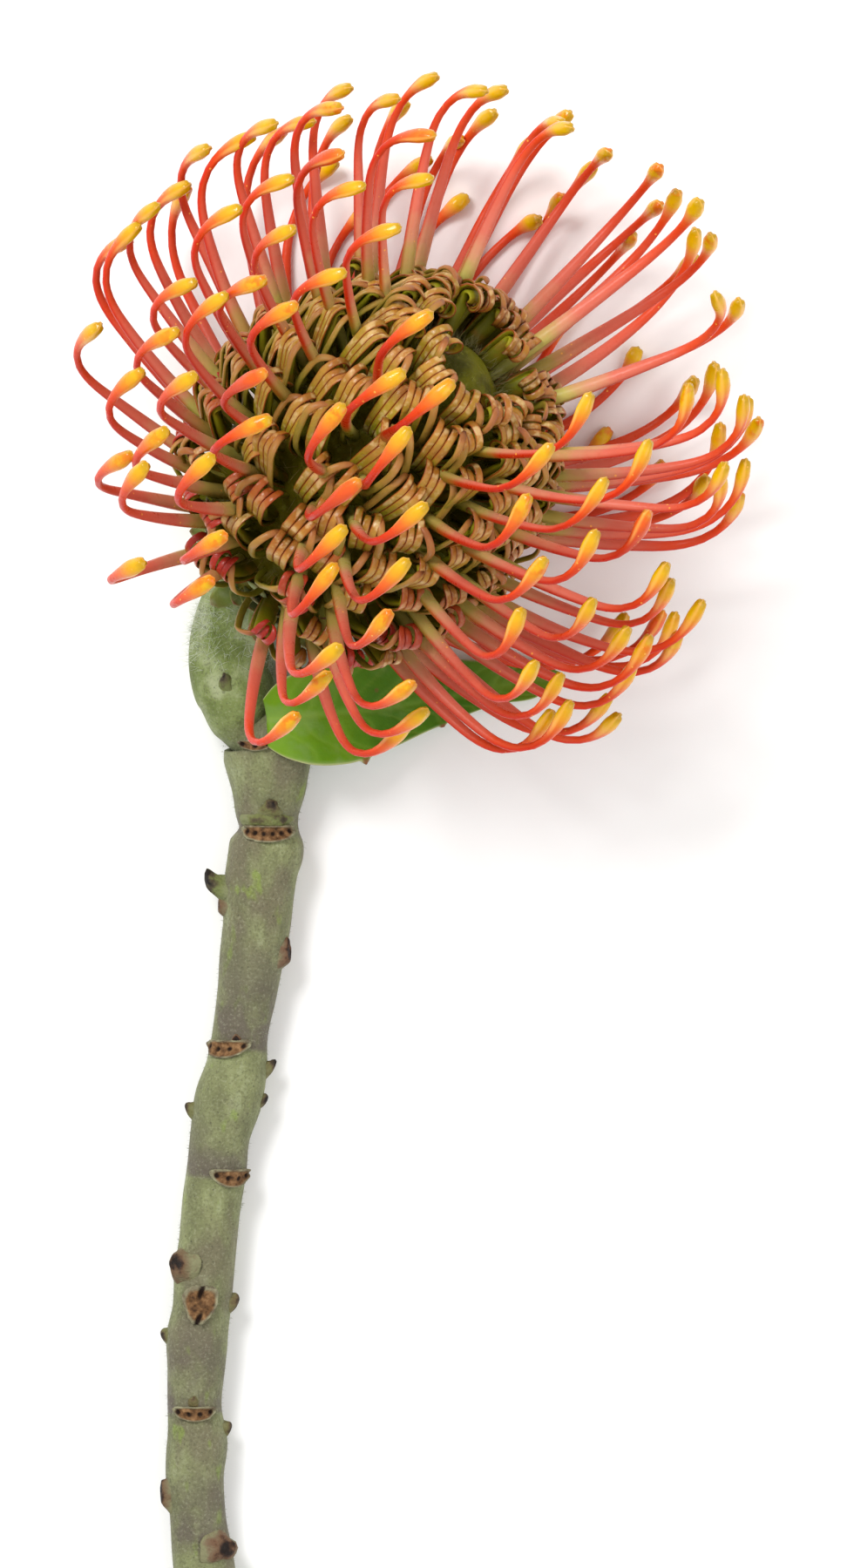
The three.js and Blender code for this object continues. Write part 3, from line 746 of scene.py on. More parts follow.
def rib_section(rib, spread_out):
    """Section of one of a band's three ribs: rounded outer face, flat inner face, set on a shallow arch."""
    across = rib * (2 / 3 + spread_out) + RIB_PLACES / 3
    outer = BAND_THICKNESS / 2 + RIB_HEIGHT * (1 - RIB_PLACES ** 2) ** 0.5
    height = np.where(RIB_INSIDE, BAND_THICKNESS / 2, -outer)
    return np.stack((across, height + BAND_ARCH * across ** 2), -1)


def add_band(piece, frame_parts, reach, lean, turn, blush, draw):
    """Three ribs that lie side by side up the floret; the outer two reach on as horns where it rolls."""
    root, ways = frame_parts
    size = 1 + 0.1 * spread(draw)
    seed = draw.random()
    horn_spread = HORN_SPREAD * (1 + 0.5 * spread(draw))
    for rib in (-1, 0, 1):
        horn = abs(rib) * (1 + 0.5 * spread(draw))
        radius = BAND_LOOP_RADIUS * size * (0.9 + 0.24 * horn)
        rib_turn = turn + 24 * spread(draw)
        plane = curl_course(
            reach, BAND_START_LEAN, lean, radius, BAND_LOOP_END * size, rib_turn, BAND_ROLL_RINGS,
        )
        along = np.linspace(0, 1, len(plane))
        gap = horn_spread * ease(0.46, 0.75, along) - 0.01
        section = np.stack([rib_section(rib, share) for share in gap])
        widths = BAND_HALF_WIDTH * size * table_value(BAND_WIDTHS, along)
        shade = per_ring(along, len(RIB_PLACES))
        piece.add_sweep(
            root + plane @ ways[:2], ways[2], section, widths, table_value(BAND_DEPTHS, along), 0.15,
            along=shade,
            seam=per_side(ease(0.6, 1.0, np.abs(RIB_PLACES)), len(plane)),
            inner=per_side(RIB_INSIDE, len(plane)),
            blush=blush * ease(0.35, 0.6, shade),
            seed=seed,
        )


def add_strap(piece, frame_parts, shift, lean_shift, hand, draw):
    """The free fourth strap, outside its band and splayed to one side."""
    root, ways = frame_parts
    reach = STRAP_REACH + shift + 0.9 * spread(draw)
    lean = STRAP_LEAN + lean_shift + 8 * spread(draw)
    radius = STRAP_LOOP_RADIUS + 0.4 * spread(draw)
    turn = STRAP_LOOP_TURN + 60 * spread(draw)
    plane = curl_course(reach, STRAP_START_LEAN, lean, radius, radius * 0.7, turn, STRAP_ROLL_RINGS)
    plane[:, 1] -= STRAP_SET_OUT
    along = np.linspace(0, 1, len(plane))
    splay = hand * (1.0 + (1.7 + 1.3 * draw.random()) * np.sin(np.pi * along ** 0.8))
    course = root + plane @ ways[:2] + splay[:, None] * ways[2]
    section = circle(STRAP_SIDES, math.pi / STRAP_SIDES)
    widths = STRAP_HALF_WIDTH * table_value(STRAP_WIDTHS, along)
    piece.add_sweep(
        course, ways[2], section, widths, widths * STRAP_DEPTH_SHARE, 0.1,
        along=per_ring(along, STRAP_SIDES),
        inner=per_side(section[:, 1] > 0.3, len(course)),
        seed=draw.random(),
    )


def add_tube(piece, frame_parts, reach, lean, turn):
    """Green tube inside a floret's band, from within the receptacle, flattened where it rolls up."""
    root, ways = frame_parts
    turn = turn * TUBE_TURN_SHARE
    plane = curl_course(
        reach, BAND_START_LEAN, lean, TUBE_LOOP_RADIUS, TUBE_LOOP_END, turn, TUBE_ROLL_RINGS,
    )
    along = np.linspace(0, 1, len(plane))
    widths, depths = (table_value(TUBE_SHAPE, along, column) for column in (1, 2))
    piece.add_sweep(
        root + plane @ ways[:2], ways[2], circle(TUBE_SIDES) + (0.0, TUBE_SET_IN), widths, depths, 0.2,
        along=per_ring(along, TUBE_SIDES),
    )


def floret_pieces():
    """Styles, curled bands, free straps and tubes of all florets; those round the bare tip stand up."""
    draw = np.random.default_rng(FLORET_SEED)
    course_draw = np.random.default_rng(STYLE_SEED)
    styles = Piece("root", "tip", "face", "seed")
    bands = Piece("along", "seam", "inner", "blush", "seed")
    straps = Piece("along", "inner", "seed")
    tubes = Piece("along")
    for index, (angle, turn) in enumerate(florets()):
        twist = math.radians(CURL_TWIST + 26 * spread(draw))
        frame_parts = floret_frame(angle, turn, twist, 0.2 * spread(draw))
        upright = 1 - ease(0, UPRIGHT_FLORETS, index)
        far_side = ease(-0.1, 0.3, frame_parts[1][0][0] - BARE_TIP_WAY[0])
        shift = 1.3 * spread(draw) - (UPRIGHT_SHORTER + FAR_SIDE_SHORTER * far_side) * upright
        lean_shift = 14 * spread(draw) + UPRIGHT_LEAN * upright
        blush = ease(*BLUSH_ANGLES, angle) * (draw.random() < BLUSH_SHARE)
        turn_in = BAND_LOOP_TURN + 50 * spread(draw) + UPRIGHT_TURN * upright
        reach = BAND_REACH + shift
        lean = BAND_LEAN + lean_shift
        add_band(bands, frame_parts, reach, lean, turn_in, blush, draw)
        hand = 1 if draw.random() < LEFT_STRAP_SHARE else -1
        add_strap(straps, frame_parts, shift, lean_shift, hand, draw)
        add_tube(tubes, frame_parts, reach, lean, turn_in)
        if index % STYLE_CYCLE not in STYLE_GAPS:
            add_style(styles, angle, turn, course_draw, draw)
    styles.make("styles", style_finish(), "flower_head", "flower_head")
    bands.make("perianth_bands", band_finish(), "flower_head", "cushion")
    straps.make("perianth_straps", strap_finish(), "flower_head", "cushion")
    tubes.make("perianth_tubes", tube_finish(), "flower_head", "cushion")


# Receptacle, from its foot to the bare tip: place along the axis, radius
RECEPTACLE_PROFILE = (
    (-29.0, 7.0), (-27.5, 9.4), (-25.0, 12.0), (-21.0, 14.9), (-17.0, 17.0), (-10.0, 19.0), (0.0, 19.4),
    (8.0, 18.6), (15.0, 15.6), (20.0, 11.8), (23.0, 8.6), (25.0, 6.8), (26.6, 5.2), (27.8, 3.4),
    (28.4, 1.6), (28.6, 0.5),
)
RECEPTACLE_SIDES = 64


def receptacle():
    """The body that the florets grow from, with its bare domed tip."""
    profile = np.array(RECEPTACLE_PROFILE)
    rings = head_point(profile[:, :1], profile[:, 1:], turns_of(RECEPTACLE_SIDES)[None])
    ends = head_point(profile[[0, -1], 0], np.zeros(2), np.zeros(2))
    points = np.concatenate((rings.reshape(-1, 3), ends))
    bare = ease(0.86, 0.95, unit(points - HEAD_CENTRE) @ BARE_TIP_WAY)
    piece = Piece("bare")
    piece.add(points, *ring_faces(len(profile), RECEPTACLE_SIDES), bare=bare)
    piece.make("receptacle", receptacle_finish(), "flower_head", "cushion")


# Rows of bracts: number, place along the axis and out from it, heading from the axis, length
BRACT_ROWS = (
    (11, -27.6, 8.6, 116, 6.0),
    (14, -25.6, 11.0, 96, 5.3),
    (17, -24.6, 12.6, 74, 5.3),
    (19, -22.2, 14.4, 64, 5.2),
    (21, -19.6, 16.0, 56, 4.8),
)
BRACT_SEED = 5
BRACT_HALF_WIDTH = 2.1
BRACT_HALF_DEPTH = 0.42
BRACT_STEPS = 8
BRACT_SIDES = 8
BRACT_REST = 0.9


def bracts():
    """Small pointed bracts in rows round the foot of the cushion."""
    draw = np.random.default_rng(BRACT_SEED)
    piece = Piece("along")
    part = np.linspace(-0.2, 1, BRACT_STEPS + 1)
    widths = BRACT_HALF_WIDTH * np.sqrt(np.clip(1 - np.clip(part, 0, 1) ** 1.8, 0.004, 1))
    depths = BRACT_HALF_DEPTH * (1.1 - part * 0.7)
    for row, (count, along, out, heading, length) in enumerate(BRACT_ROWS):
        for index in range(count):
            turn = 2 * math.pi * (index + 0.5 * row + 0.2 * spread(draw)) / count
            angles = np.radians(heading + 6 * spread(draw) - 22 * part)
            step = length * (1 + 0.15 * spread(draw)) / BRACT_STEPS
            alongs = along + np.cumsum(np.cos(angles)) * step
            outs = out - 1.2 + np.cumsum(np.sin(angles)) * step
            course = head_point(alongs, outs, np.full(BRACT_STEPS + 1, turn))
            course[:, 2] = np.maximum(course[:, 2], BRACT_REST)
            piece.add_sweep(
                course, side_way(turn), circle(BRACT_SIDES), widths, depths, 0.1,
                along=per_ring(np.linspace(0, 1, BRACT_STEPS + 1), BRACT_SIDES),
            )
    piece.make("bracts", bract_finish(), "flower_head", "flower_head")


HAIR_TAPER = (1.0, 0.8, 0.5, 0.12)
HAIR_SIDES = 3
HEAD_HAIR_SEED = 23
# Hairs of the head by piece: number, angles from and to, shortest, longest, thickness
TIP_HAIRS = (700, 9, 33, 0.9, 2.6, 0.032)
FLORET_HAIRS = (900, 34, 140, 2.0, 5.5, 0.045)
HEAD_HAIRS = (620, 138, 158, 1.6, 3.6, 0.05)
# Body that they grow from: half length and radius that set their ways, and where their roots lie
HAIR_BODY = (29, 19.4)
HAIR_ROOTS = (28.0, 18.6)


def add_hair(piece, root, way, length, thickness, droop, draw):
    """One tapering three-sided hair, bent a little to one side."""
    bend = unit(np.cross(way, draw.normal(size=3)))
    part = np.linspace(0, 1, len(HAIR_TAPER))[:, None]
    course = root + way * length * part + bend * droop * length * part ** 2
    course[:, 2] = np.maximum(course[:, 2], thickness)
    widths = thickness * np.array(HAIR_TAPER)
    side = unit(np.cross(way, bend))
    piece.add_sweep(
        course, side, circle(HAIR_SIDES), widths, widths, 0.0, along=per_ring(part[:, 0], HAIR_SIDES),
    )


def head_hairs():
    """Soft hairs on the bare tip, brown ones among the florets, white ones at the foot of the cushion."""
    draw = np.random.default_rng(HEAD_HAIR_SEED)
    soft, brown, pale = (Piece("along") for _ in range(3))
    for piece, zone in ((soft, TIP_HAIRS), (brown, FLORET_HAIRS), (pale, HEAD_HAIRS)):
        count, first, last, shortest, longest, thickness = zone
        for _ in range(count):
            angle = math.radians(first + (last - first) * draw.random() ** 0.7)
            turn = 2 * math.pi * draw.random()
            if piece is soft:
                angle, turn = map(float, round_bare_tip(angle, turn))
            root = head_point(HAIR_ROOTS[0] * math.cos(angle) - 1, HAIR_ROOTS[1] * math.sin(angle), turn)
            way = unit(body_way(*HAIR_BODY, angle, turn) + 0.45 * draw.normal(size=3))
            length = shortest + (longest - shortest) * draw.random()
            add_hair(piece, root, way, length, thickness, 0.3 * spread(draw), draw)
    pale.make("head_hairs", hair_finish("head_hair", "#aeb894", "#e3e6da"), "flower_head", "cushion")
    soft.make("tip_hairs", hair_finish("tip_hair", "#5a5222", "#9c946a"), "flower_head", "cushion")
    brown.make("floret_hairs", hair_finish("floret_hair", "#5c4a1c", "#b59f70"), "flower_head", "cushion")


# Stem by stations: x, y, height of the centre and half width, from the cut end past the shoulder to the neck
STEM_STATIONS = (
    (-24.0, -176.0, 4.3, 4.6), (-24.9, -164.3, 4.3, 4.6), (-25.6, -158.3, 4.4, 4.2),
    (-26.1, -151.7, 4.5, 4.4), (-25.8, -147.2, 4.5, 4.6), (-26.2, -142.0, 4.5, 4.1),
    (-26.0, -136.0, 4.5, 4.3), (-25.8, -131.0, 4.5, 4.6), (-25.2, -127.0, 4.5, 4.4),
    (-24.8, -121.5, 4.5, 4.5), (-24.2, -116.0, 4.5, 4.4), (-22.9, -106.0, 4.6, 4.5),
    (-22.4, -100.8, 4.7, 4.5), (-21.0, -94.6, 4.8, 5.1), (-20.0, -90.5, 4.8, 4.7),
    (-19.3, -85.4, 4.8, 4.2), (-18.3, -79.0, 4.9, 4.5), (-17.0, -69.4, 5.0, 5.1),
    (-16.1, -60.5, 5.1, 5.4), (-15.1, -56.0, 5.2, 5.4), (-15.0, -54.2, 5.3, 4.5),
    (-15.2, -51.5, 5.5, 4.9), (-15.0, -47.0, 5.9, 5.9), (-15.3, -42.0, 6.3, 6.6),
    (-15.6, -40.7, 6.4, 6.2), (-16.9, -40.0, 6.4, 4.6), (-18.0, -39.4, 6.4, 4.0),
    (-18.7, -38.2, 6.4, 4.9), (-19.5, -34.5, 6.4, 5.9), (-20.6, -30.0, 6.4, 6.0),
    (-20.6, -25.5, 6.9, 6.1), (-18.9, -20.6, 8.6, 6.4),
)
SEAT_GAP = 0.35
# Dark patches: place of the scar that each begins at, and its length towards the head
STEM_DUSK = ((-55.0, 4.5), (-87.4, 17.0), (-106.9, 7.0), (-142.4, 12.0), (-163.0, 12.0))
STEM_SEED = 3
STEM_SIDES = 72
STEM_RING_SPACING = 0.42
STEM_WAVES = 26
NECK_START = -40.0
# Cut face, from the bark to the pith: share of the radius, depth, share of bare wood
CUT_FACE = (
    (1.0, 0.0, 0.0), (0.8875, 0.25, 0.7), (0.8, 0.1, 1.0), (0.5, 0.05, 1.0), (0.16, 0.0, 0.6),
    (0.12, 0.35, 0.3),
)
PITH_DEPTH = 0.4


def smooth_stations(stations, spacing):
    """Stations joined by a curve that keeps to their order, every so many millimetres."""
    stations = np.asarray(stations, float)
    reach = np.concatenate(([0], np.cumsum(np.linalg.norm(np.diff(stations[:, :3], axis=0), axis=1))))
    slopes = np.gradient(stations, reach, axis=0)
    places = np.linspace(0, reach[-1], int(reach[-1] / spacing))
    low = np.clip(np.searchsorted(reach, places) - 1, 0, len(reach) - 2)
    span = (reach[low + 1] - reach[low])[:, None]
    part = (places - reach[low])[:, None] / span
    start = (1 + 2 * part) * (1 - part) ** 2 * stations[low] + part * (1 - part) ** 2 * span * slopes[low]
    end = part ** 2 * (3 - 2 * part) * stations[low + 1] - part ** 2 * (1 - part) * span * slopes[low + 1]
    return start + end


def stem_at(y):
    """The stem's centre across, the height of its centre and its half width, at places along it."""
    table = np.array(STEM_STATIONS)
    return [np.interp(y, table[:, 1], table[:, column]) for column in (0, 2, 3)]


def stem():
    """Bark from the cut end to the head's seat, with low swellings round it, and the cut face."""
    seat = head_point(RECEPTACLE_BASE - SEAT_GAP, 0.0, 0.0)
    rows = smooth_stations((*STEM_STATIONS, (*seat, RECEPTACLE_BASE_RADIUS)), STEM_RING_SPACING)
    course = rows[:, :3]
    turns = turns_of(STEM_SIDES)
    wave = np.zeros((len(rows), STEM_SIDES))
    draw = np.random.default_rng(STEM_SEED)
    for _ in range(STEM_WAVES):
        count = draw.integers(1, 6)
        pitch = draw.uniform(0.05, 0.7)
        share = draw.uniform(0.2, 1.0) / count
        wave += share * np.sin(count * turns + pitch * course[:, 1:2] + RANDOM_TURN * draw.random())
    bulge = ease(NECK_START, NECK_START + 5, course[:, 1:2])
    scale = 1 + (0.009 + 0.014 * bulge) * wave
    section = circle(STEM_SIDES) * scale[..., None]
    points = sweep(course, np.array((1.0, 0.0, 0.0)), section, rows[:, 3], rows[:, 3])
    points[:, 2] = np.maximum(points[:, 2], 0)
    quads, fans = ring_faces(len(rows), STEM_SIDES)
    dusk = 0
    for y, reach in STEM_DUSK:
        above = course[:, 1] - y
        dusk = dusk + ease(-0.4, 0.5, above) * np.exp(-(above / reach) ** 2)
    piece = Piece("neck", "dusk", "wood")
    piece.add(
        points, quads, fans[STEM_SIDES:],
        neck=per_ring(ease(NECK_START - 1, NECK_START + 3, course[:, 1]), STEM_SIDES),
        dusk=per_ring(np.clip(dusk, 0, 1), STEM_SIDES),
        wood=0.0,
    )
    centre = course[0]
    spokes = points[:STEM_SIDES] - centre
    rings = [centre + spokes * share + (0, depth, 0) for share, depth, _ in CUT_FACE]
    quads, fans = ring_faces(len(rings), STEM_SIDES)
    piece.add(
        np.concatenate((*rings, (centre, centre + (0, PITH_DEPTH, 0)))),
        quads[:, ::-1], fans[STEM_SIDES:, ::-1],
        neck=0.0, dusk=0.0, wood=per_ring([wood for *_, wood in CUT_FACE], STEM_SIDES),
    )
    piece.make("stem", stem_finish(), "stem", "stem")


# Leaf scars: place along the stem, angle round it, half width, half length, bundle dots
LEAF_SCARS = (
    (-41.7, 104, 2.9, 0.85, 3), (-55.0, 90, 5.0, 1.35, 6), (-87.4, 118, 4.3, 1.45, 4),
    (-106.9, 55, 3.9, 1.45, 4), (-126.0, 92, 2.5, 3.1, 2), (-142.4, 90, 3.6, 1.2, 4),
)
# Upright scar and crescent: rise over the bark, depth of a dot, length of a dot to its width
UPRIGHT_SCAR = (0.75, 0.45, 3.2)
CRESCENT_SCAR = (0.42, 0.2, 1)
SCAR_COLUMNS = 56
SCAR_ROWS = 19
SCAR_SMILE = 0.75
SCAR_DEPTH = 0.8
LIP_HEIGHT = 0.26
DOT_REACH = 0.66


def add_scar(piece, y, angle, half_width, half_length, dots):
    """A crescent with a raised lip, sunk cork and a row of bundle dots, laid on the bark."""
    across, along = np.meshgrid(np.linspace(-1, 1, SCAR_COLUMNS), np.linspace(-1, 1, SCAR_ROWS))
    down = along * np.sqrt(1 - across ** 4 * 0.95)
    turn = math.radians(angle) - across * half_width / stem_at(y)[2]
    smile = SCAR_SMILE * min(half_width / half_length, 1.0) ** 2 * half_length * across ** 2
    edge = np.sqrt(across ** 2 + down ** 2)
    lip = np.exp(-((edge - 0.86) / 0.13) ** 2)
    ragged = 0.08 * np.sin(11 * across + y) + 0.07 * np.sin(9 * down + 5 * across)
    upright = half_length > half_width
    rise, dot_depth, dot_length = UPRIGHT_SCAR if upright else CRESCENT_SCAR
    rim = ease(0.93, 1.0, np.maximum(edge, np.abs(along)))
    height = rise + (LIP_HEIGHT + ragged) * lip + ragged - 1.5 * rim
    dot = np.zeros_like(edge)
    for place in np.linspace(-DOT_REACH, DOT_REACH, dots):
        reach = np.hypot(
            (across - place * (not upright)) * half_width - 0.25 * upright * (down - place) * half_length,
            (down - place * upright) * half_length / dot_length,
        )
        dot = np.maximum(dot, ease(0.5, 0.22, reach))
    ys = y + down * half_length + smile
    middle, level, half = stem_at(ys)
    reach = half + (height - dot_depth * dot)
    points = np.stack((middle + reach * np.cos(turn), ys, level + reach * np.sin(turn)), -1)
    under = points - np.stack((np.cos(turn), 0 * turn, np.sin(turn)), -1) * SCAR_DEPTH
    piece.add_slab(points, under, cork=ease(0.84, 0.7, edge), dots=dot)


def scars():
    piece = Piece("cork", "dots")
    for scar in LEAF_SCARS:
        add_scar(piece, *scar)
    piece.make("leaf_scars", scar_finish(), "stem", "stem")


# Buds and knobs: place along the stem, angle round it, reach, half width, half length, lean, brown
STEM_BUDS = (
    (-32.6, 104, 1.1, 1.1, 1.6, 0.8, 0.0), (-51.2, 84, 1.3, 1.5, 1.4, 0.4, 0.3),
    (-52.9, 70, 0.7, 1.9, 1.2, 0.2, 0.0), (-52.7, 101, 0.6, 2.6, 1.3, 0.0, 0.1),
    (-63.6, 174, 3.0, 1.6, 1.9, 0.45, 0.0), (-72.7, 18, 1.5, 1.4, 2.4, 0.0, 1.0),
    (-86.0, 96, 0.9, 0.8, 0.9, 0.2, 1.0), (-90.6, 5, 1.5, 1.0, 1.3, 0.6, 0.4),
    (-95.3, 8, 1.1, 0.9, 1.2, 0.4, 0.3), (-96.9, 174, 1.3, 1.1, 1.4, 0.5, 0.3),
    (-120.2, 140, 1.8, 2.4, 2.3, 0.2, 0.9), (-125.8, 6, 1.3, 1.1, 1.5, 0.4, 0.5),
    (-130.8, 174, 1.0, 1.0, 1.3, 0.4, 0.3), (-140.6, 92, 0.8, 0.9, 1.0, 0.3, 0.5),
    (-144.8, 6, 1.1, 1.0, 1.3, 0.4, 0.4), (-154.6, 168, 1.7, 1.3, 2.5, 0.3, 0.9),
    (-162.6, 48, 1.6, 2.8, 2.1, 0.2, 1.0), (-65.9, 172, 1.2, 1.6, 1.6, 0.1, 0.9),
)
BUD_SEED = 8
BUD_RINGS = 15
BUD_SIDES = 20
KNOB_HOLLOW = 0.55
KNOB_BROWN = 0.6
STUB_REACH = 2.5
# Widths of the tip of a leaf stub and of a bud
STUB_TIP = (0.88, 0.78, 0.3)
BUD_TIP = (0.72, 0.42, 0.12)


def add_bud(piece, y, angle, reach, half_width, half_length, lean, brown, draw):
    """A knob on the bark: a foot that spreads into it, a body and a pointed or blunt tip."""
    middle, level, half = stem_at(y)
    out = np.array((math.cos(math.radians(angle)), 0.0, math.sin(math.radians(angle))))
    part = np.linspace(0, 1, BUD_RINGS)
    heights = half - 1.0 + (1.0 + reach) * part
    sunk = KNOB_HOLLOW * (brown > KNOB_BROWN) * ease(0.78, 1.0, part)
    course = out * (heights - sunk)[:, None] + (middle, y, level)
    course[:, 1] += lean * np.clip(heights - half + 0.3, 0, None) ** 1.3
    tip_widths = STUB_TIP if reach > STUB_REACH else BUD_TIP
    body = np.interp(part, (0, 0.35, 0.5, 0.75, 0.92, 1), (1.35, 1.1, 0.95, *tip_widths))
    turns = turns_of(BUD_SIDES)
    rough = 0.1 * np.sin(3 * turns + RANDOM_TURN * draw.random())
    rough = rough + 0.07 * np.sin(5 * turns + RANDOM_TURN * draw.random())
    rough = 1 + rough + 0.06 * np.sin(4 * turns + 9 * part[:, None]) * part[:, None]
    section = circle(BUD_SIDES) * rough[..., None] * body[:, None, None]
    lengthwise = np.array((0.0, half_length, 0.0))
    sideways = np.cross(out, (0.0, half_width, 0.0))
    walls = course[:, None] + section[..., :1] * lengthwise + section[..., 1:] * sideways
    points = np.concatenate((walls.reshape(-1, 3), course[[0, -1]]))
    shade = part * min(1.0, 0.45 + 0.5 * reach)
    piece.add(points, *ring_faces(BUD_RINGS, BUD_SIDES), along=per_ring(shade, BUD_SIDES), brown=brown)


def buds():
    draw = np.random.default_rng(BUD_SEED)
    piece = Piece("along", "brown")
    for bud in STEM_BUDS:
        add_bud(piece, *bud, draw)
    piece.make("stem_buds", bud_finish(), "stem", "stem")


FELT_SEED = 31
FELT_COUNT = 5200
NECK_HAIR_SEED = 37
NECK_HAIR_COUNT = 1300
NECK_HAIR_START = -31
BARK_SPACING = 1.0


def bark_root(rows, crowding, sunk, draw):
    """Root of a hair on the bark, oftener towards the head, and the way out of the bark there."""
    row = rows[min(int(len(rows) * draw.random() ** crowding), len(rows) - 1)]
    turn = 2 * math.pi * draw.random()
    out = np.array((math.cos(turn), 0.0, math.sin(turn)))
    return row[:3] + (0, draw.random() - 0.5, 0) + out * (row[3] - sunk), out


def stem_fuzz():
    """Short pale felt on the bark, longer and denser towards the neck."""
    draw = np.random.default_rng(FELT_SEED)
    piece = Piece("along")
    rows = smooth_stations(STEM_STATIONS, BARK_SPACING)
    for _ in range(FELT_COUNT):
        root, out = bark_root(rows, 0.8, 0.05, draw)
        if root[2] < 0.3:
            continue
        neck = float(ease(-36, -24, root[1]))
        length = 0.3 + 0.3 * draw.random() + 0.6 * neck * draw.random()
        way = unit(out + 0.7 * draw.normal(size=3) * (1, 1, 0.5))
        add_hair(piece, root, way, length, 0.024, 0.3 * spread(draw), draw)
    piece.make("stem_fuzz", hair_finish("stem_felt", "#797e5e", "#9b9f82"), "stem", "stem")


def neck_hairs():
    """White hairs round the top of the neck, under the head."""
    draw = np.random.default_rng(NECK_HAIR_SEED)
    piece = Piece("along")
    rows = smooth_stations(STEM_STATIONS, BARK_SPACING)
    rows = rows[rows[:, 1] > NECK_HAIR_START]
    for _ in range(NECK_HAIR_COUNT):
        root, out = bark_root(rows, 0.6, 0.1, draw)
        if root[2] < 0.5:
            continue
        way = unit(out + 0.8 * draw.normal(size=3) * (1, 1, 0.6))
        add_hair(piece, root, way, 0.7 + 1.9 * draw.random(), 0.032, 0.4 * spread(draw), draw)
    piece.make("neck_hairs", hair_finish("neck_hair", "#b4bda2", "#e0e4d8"), "stem", "stem")


# Middle line of the leaf from the stem's shoulder down to the surface: x, y, height, and the half
# widths towards the stem's foot and towards the head
LEAF_LINE = (
    (-15.2, -37.7, 12.6, 4.2, 3.0), (-14.0, -37.6, 12.9, 5.2, 4.4), (-10.5, -37.3, 13.4, 7.0, 6.6),
    (-5.0, -36.9, 11.2, 7.7, 8.2), (1.5, -36.2, 6.9, 6.3, 8.4), (9.0, -35.0, 3.4, 4.2, 6.9),
    (19.0, -33.0, 2.0, 2.5, 4.2), (25.5, -31.7, 1.7, 2.4, 2.6), (29.0, -31.0, 1.6, 0.4, 0.5),
)
# Teeth: side, -1 towards the stem's foot and 1 towards the head, place along the leaf, reach, half length
LEAF_TEETH = (
    (-1, 0.31, 0.9, 0.02), (-1, 0.6, 0.5, 0.015), (-1, 0.97, 0.4, 0.02), (1, 0.42, 0.7, 0.02),
    (1, 0.87, 0.9, 0.022),
)
LEAF_ROW_SPACING = 44.5 / 110
LEAF_COLUMNS = 41
VEIN_COUNT = 9


def leaf():
    """Blade with a sunk midrib, side veins, a wavy margin and callus-tipped teeth."""
    rows = smooth_stations(LEAF_LINE, LEAF_ROW_SPACING)
    line = rows[:, :3]
    part = np.linspace(0, 1, len(line))[:, None]
    across = np.linspace(-1, 1, LEAF_COLUMNS)[None, :]
    aside = np.abs(across)
    way = unit(np.gradient(line, axis=0))
    side = unit(np.cross(UP, way))
    normal = np.cross(way, side)[:, None]
    half = np.where(across < 0, rows[:, 3:4], rows[:, 4:5])
    callus = np.zeros_like(half)
    for hand, place, reach, length in LEAF_TEETH:
        tooth = np.clip(1 - np.abs(part - place) / length, 0, 1) * (np.sign(across) == hand)
        half = half + reach * tooth * across ** 8
        callus = np.maximum(callus, ease(0.25, 0.7, tooth) * ease(0.9, 0.97, aside))
    vein = np.exp(-((across * half) / 0.55) ** 2) * (1 - 0.6 * part)
    for index in range(VEIN_COUNT):
        start = index / VEIN_COUNT * 0.85
        path = start + 0.16 * aside ** 0.9 + 0.02 * np.sin(7 * across + index)
        branch = 0.6 * np.exp(-(((part - path) * LEAF_LENGTH) / 0.4) ** 2) * (aside < 0.93)
        vein = np.maximum(vein, branch)
    wave = 0.35 * np.sin(9 * part + 1.3 * across) * across ** 2 * (1 - part)
    height = 0.9 * across ** 2 * (1 - part) + wave - 0.16 * vein
    middle = line[:, None] + side[:, None] * (across * half)[..., None] + normal * height[..., None]
    middle[..., 2] = np.maximum(middle[..., 2], LEAF_THICKNESS / 2)
    thickness = (LEAF_THICKNESS / 2) * (0.45 + 0.55 * ease(1.0, 0.93, aside))
    top = middle + normal * thickness[..., None]
    bottom = middle - normal * (thickness + 0.12 * vein)[..., None]
    piece = Piece("along", "vein", "margin", "callus", "under")
    piece.add_slab(
        bottom, top,
        along=part, vein=vein, margin=ease(0.94, 0.985, aside) * 0.8, callus=callus,
        under=np.reshape((1.0, 0.0), (2, 1, 1)),
    )
    piece.make("leaf", leaf_finish(), "leaf", "leaf")


FLOOR_HALF = 1.6
# Lights: name, place, size, power
LIGHTS = (
    ("key", (-0.55, 0.65, 1.1), 0.5, 15.5),
    ("fill", (0.8, -0.3, 1.0), 1.0, 6.0),
)
LIGHT_AIM = (0.0, 0.03, 0.03)
SKY_STRENGTH = 0.75


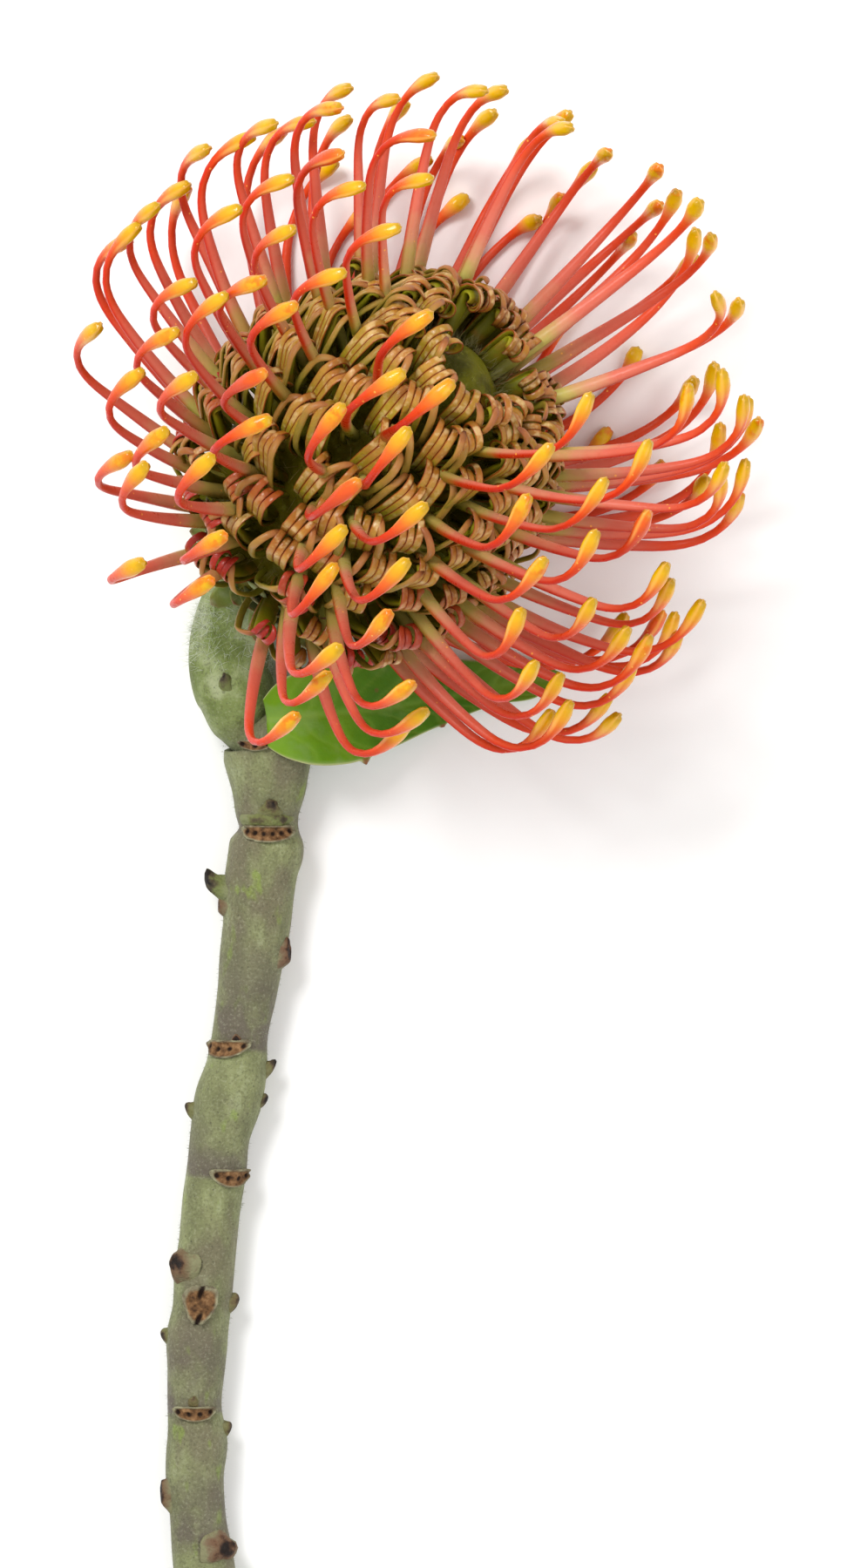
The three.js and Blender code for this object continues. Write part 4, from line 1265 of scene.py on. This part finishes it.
def stage():
    """Plain pale floor, a soft key light, a softer fill and a pale sky."""
    corners = [(x * FLOOR_HALF, y * FLOOR_HALF, 0) for x, y in ((-1, -1), (1, -1), (1, 1), (-1, 1))]
    mesh = bpy.data.meshes.new("floor")
    mesh.from_pydata(corners, [], [(0, 1, 2, 3)])
    look = Finish("floor", Specular_IOR_Level=0.2, Roughness=0.8)
    colour = look.ramp(look.noise(0.5, 1.0), (0.3, "#f4f4f2"), (0.7, "#f7f7f6"))
    mesh.materials.append(look.settle(Base_Color=colour))
    new_object("floor", mesh)
    for name, place, size, power in LIGHTS:
        light = bpy.data.lights.new(name, "AREA")
        light.size = size
        light.energy = power
        lamp = new_object(name, light)
        lamp.location = place
        aim = unit(np.array(LIGHT_AIM) - place)
        lamp.rotation_euler = (math.acos(-aim[2]), 0.0, math.atan2(-aim[0], aim[1]))
    world = bpy.data.worlds.new("sky")
    world.use_nodes = True
    sky = world.node_tree.nodes["Background"]
    sky.inputs["Color"].default_value = (1.0, 1.0, 1.0, 1.0)
    sky.inputs["Strength"].default_value = SKY_STRENGTH
    bpy.context.scene.world = world
    bpy.context.scene.view_settings.view_transform = "Standard"


CAMERA_DISTANCE = 2.5
SENSOR = 36.0


def camera():
    """Straight above the flower, framed as the photograph."""
    data = bpy.data.cameras.new("camera")
    data.sensor_width = SENSOR
    data.lens = SENSOR * CAMERA_DISTANCE / (PHOTO_HEIGHT * PIXEL * MM)
    data.clip_end = 10.0
    middle = (
        (PHOTO_WIDTH / 2 - HEAD_PIXEL[0]) * PIXEL,
        (HEAD_PIXEL[1] - PHOTO_HEIGHT / 2) * PIXEL,
        HEAD_HEIGHT,
    )
    eye = new_object("camera", data)
    eye.location = to_frame(middle) + (0, 0, CAMERA_DISTANCE)
    bpy.context.scene.camera = eye


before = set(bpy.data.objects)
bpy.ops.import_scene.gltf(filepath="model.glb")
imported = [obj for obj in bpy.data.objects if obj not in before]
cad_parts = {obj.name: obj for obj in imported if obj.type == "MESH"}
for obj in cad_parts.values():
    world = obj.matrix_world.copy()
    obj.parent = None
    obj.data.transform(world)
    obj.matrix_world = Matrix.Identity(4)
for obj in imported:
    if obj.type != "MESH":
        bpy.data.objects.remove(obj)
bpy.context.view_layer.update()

camera()
stage()
stem()
scars()
buds()
stem_fuzz()
neck_hairs()
leaf()
receptacle()
bracts()
floret_pieces()
head_hairs()
